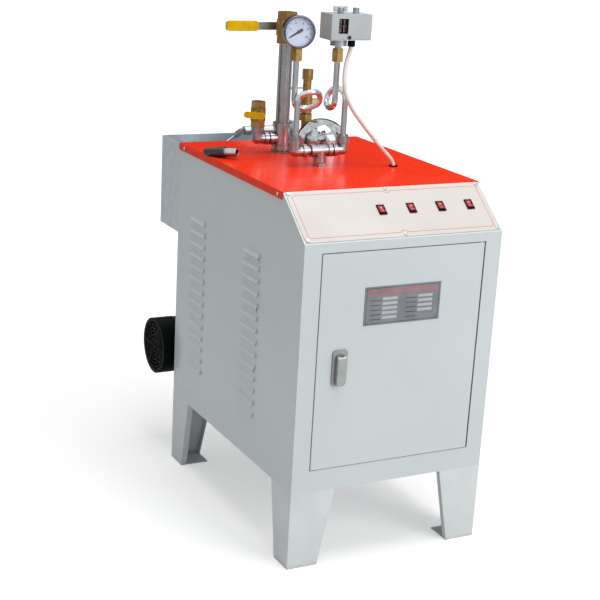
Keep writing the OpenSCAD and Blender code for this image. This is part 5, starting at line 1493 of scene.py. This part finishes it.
@dataclass
class Studio:
    """Pale floor, soft lamps and a white background."""

    floor_size: float = 24.0
    glow_from: float = 0.8
    glow_to: float = 2.6
    glow_near: float = 0.4
    glow_far: float = 0.85
    world_light: float = 0.36
    floor_colour: Colour = (0.86, 0.86, 0.86, 1.0)
    floor_rough: float = 0.75
    flag_colour: Colour = (0.03, 0.033, 0.035, 1.0)
    flag_rough: float = 0.9
    white: Colour = (1.0, 1.0, 1.0, 1.0)

    def build(self) -> None:
        """Makes the floor, the lamps, the flags and the world."""
        self._floor()
        self._lamp("key", (1.3, -3.0, 1.9), (0.0, 0.0, 0.45), 1.8, 41.5)
        self._lamp("overhead", (0.1, -0.4, 3.0), (0.0, 0.0, 0.6), 1.8, 44.0)
        self._flag("flag_back", (0.9, 2.9, 1.35), (0.0, 0.0, 0.8), (3.6, 1.5))
        self._flag("flag_left", (-2.4, 0.6, 1.3), (0.0, 0.0, 0.8), (1.0, 2.2))
        self._flag("flag_right", (1.9, -0.6, 1.3), (0.0, 0.0, 0.8), (0.5, 2.0))
        self._world()

    def _flag(self, name: str, place: Point, aim: Point, size: tuple[float, float]) -> None:
        """Dark panel that only reflections see, as a studio uses for bright metal.

        Args:
            name: Its name.
            place: Its middle, in metres.
            aim: The point that it faces.
            size: Its width and height, in metres.
        """
        bpy.ops.object.select_all(action="DESELECT")
        bpy.ops.mesh.primitive_plane_add(size=1.0, location=(0, 0, 0))
        flag = bpy.context.object
        flag.name = name
        flag.scale = (size[0], size[1], 1.0)
        way = Vector(place) - Vector(aim)
        way.z = 0.0
        turn = seat(Vector(place), way, Vector((0, 0, 1)))
        bpy.ops.object.transform_apply(location=False, rotation=False, scale=True)
        flag.data.transform(turn)
        flag.visible_camera = False
        flag.visible_diffuse = False
        flag.visible_shadow = False
        flag.visible_transmission = False
        mat = bpy.data.materials.new(name)
        mat.use_nodes = True
        shader = mat.node_tree.nodes["Principled BSDF"]
        shader.inputs["Base Color"].default_value = self.flag_colour
        shader.inputs["Roughness"].default_value = self.flag_rough
        flag.data.materials.append(mat)

    def _floor(self) -> None:
        """Pale floor that is near white to the camera and keeps the shadow."""
        bpy.ops.object.select_all(action="DESELECT")
        bpy.ops.mesh.primitive_plane_add(size=self.floor_size, location=(0, 0, 0))
        floor = bpy.context.object
        floor.name = "studio_floor"
        mat = bpy.data.materials.new("studio_floor")
        mat.use_nodes = True
        nodes = mat.node_tree.nodes
        links = mat.node_tree.links
        shader = nodes["Principled BSDF"]
        shader.inputs["Base Color"].default_value = self.floor_colour
        shader.inputs["Roughness"].default_value = self.floor_rough
        glow = nodes.new("ShaderNodeEmission")
        path = nodes.new("ShaderNodeLightPath")
        seen = nodes.new("ShaderNodeMath")
        seen.operation = "MAXIMUM"
        links.new(path.outputs["Is Camera Ray"], seen.inputs[0])
        links.new(path.outputs["Is Transmission Ray"], seen.inputs[1])
        away = nodes.new("ShaderNodeVectorMath")
        away.operation = "LENGTH"
        links.new(nodes.new("ShaderNodeTexCoord").outputs["Object"], away.inputs[0])
        fade = nodes.new("ShaderNodeMapRange")
        fade.inputs["From Min"].default_value = self.glow_from
        fade.inputs["From Max"].default_value = self.glow_to
        fade.inputs["To Min"].default_value = self.glow_near
        fade.inputs["To Max"].default_value = self.glow_far
        links.new(away.outputs["Value"], fade.inputs["Value"])
        lift = nodes.new("ShaderNodeMath")
        lift.operation = "MULTIPLY"
        links.new(seen.outputs["Value"], lift.inputs[0])
        links.new(fade.outputs["Result"], lift.inputs[1])
        links.new(lift.outputs["Value"], glow.inputs["Strength"])
        total = nodes.new("ShaderNodeAddShader")
        links.new(shader.outputs["BSDF"], total.inputs[0])
        links.new(glow.outputs["Emission"], total.inputs[1])
        links.new(total.outputs["Shader"], nodes["Material Output"].inputs["Surface"])
        floor.data.materials.append(mat)

    def _lamp(self, name: str, place: Point, aim: Point, size: float, watts: float) -> None:
        """One soft square lamp.

        Args:
            name: Its name.
            place: Where it stands, in metres.
            aim: The point that it faces.
            size: Its side, in metres.
            watts: Its power.
        """
        data = bpy.data.lights.new(name, "AREA")
        data.shape = "SQUARE"
        data.size = size
        data.energy = watts
        lamp = bpy.data.objects.new(name, data)
        bpy.context.scene.collection.objects.link(lamp)
        lamp.location = place
        way = Vector(aim) - Vector(place)
        lamp.rotation_euler = way.to_track_quat("-Z", "Y").to_euler()

    def _world(self) -> None:
        """White for the camera and for mirrors, a softer light for the rest."""
        world = bpy.data.worlds.new("studio")
        world.use_nodes = True
        bpy.context.scene.world = world
        nodes = world.node_tree.nodes
        links = world.node_tree.links
        plain = nodes["Background"]
        plain.inputs["Color"].default_value = self.white
        plain.inputs["Strength"].default_value = self.world_light
        white = nodes.new("ShaderNodeBackground")
        white.inputs["Color"].default_value = self.white
        white.inputs["Strength"].default_value = 1.0
        path = nodes.new("ShaderNodeLightPath")
        mirror = nodes.new("ShaderNodeMath")
        mirror.operation = "MAXIMUM"
        links.new(path.outputs["Is Camera Ray"], mirror.inputs[0])
        links.new(path.outputs["Is Glossy Ray"], mirror.inputs[1])
        seen = nodes.new("ShaderNodeMath")
        seen.operation = "MAXIMUM"
        links.new(mirror.outputs["Value"], seen.inputs[0])
        links.new(path.outputs["Is Transmission Ray"], seen.inputs[1])
        direct = nodes.new("ShaderNodeMath")
        direct.operation = "LESS_THAN"
        direct.inputs[1].default_value = 0.5
        links.new(path.outputs["Diffuse Depth"], direct.inputs[0])
        shown = nodes.new("ShaderNodeMath")
        shown.operation = "MULTIPLY"
        links.new(seen.outputs["Value"], shown.inputs[0])
        links.new(direct.outputs["Value"], shown.inputs[1])
        mix = nodes.new("ShaderNodeMixShader")
        links.new(shown.outputs["Value"], mix.inputs["Fac"])
        links.new(plain.outputs["Background"], mix.inputs[1])
        links.new(white.outputs["Background"], mix.inputs[2])
        links.new(mix.outputs["Shader"], nodes["World Output"].inputs["Surface"])


def dress_nodes() -> None:
    """Gives every CAD node its finish."""
    for node, finish in NODE_FINISH.items():
        data = frame["nodes"][node].data
        data.materials.clear()
        data.materials.append(finish.material())


def main() -> None:
    """Builds the scene piece by piece."""
    logging.basicConfig(level=logging.INFO, format="%(message)s")
    bpy.context.scene.view_settings.view_transform = "Standard"
    Camera().build()
    ControlCable().build()
    Studio().build()
    dress_nodes()
    for piece in (Cabinet(), Console(), DoorDress(), TopFittings(), Gauge(), Controller(), Valves(),
                  RearUnit(), Interior()):
        piece.build()
        LOG.info("%s built", type(piece).__name__)


if __name__ == "__main__":
    main()
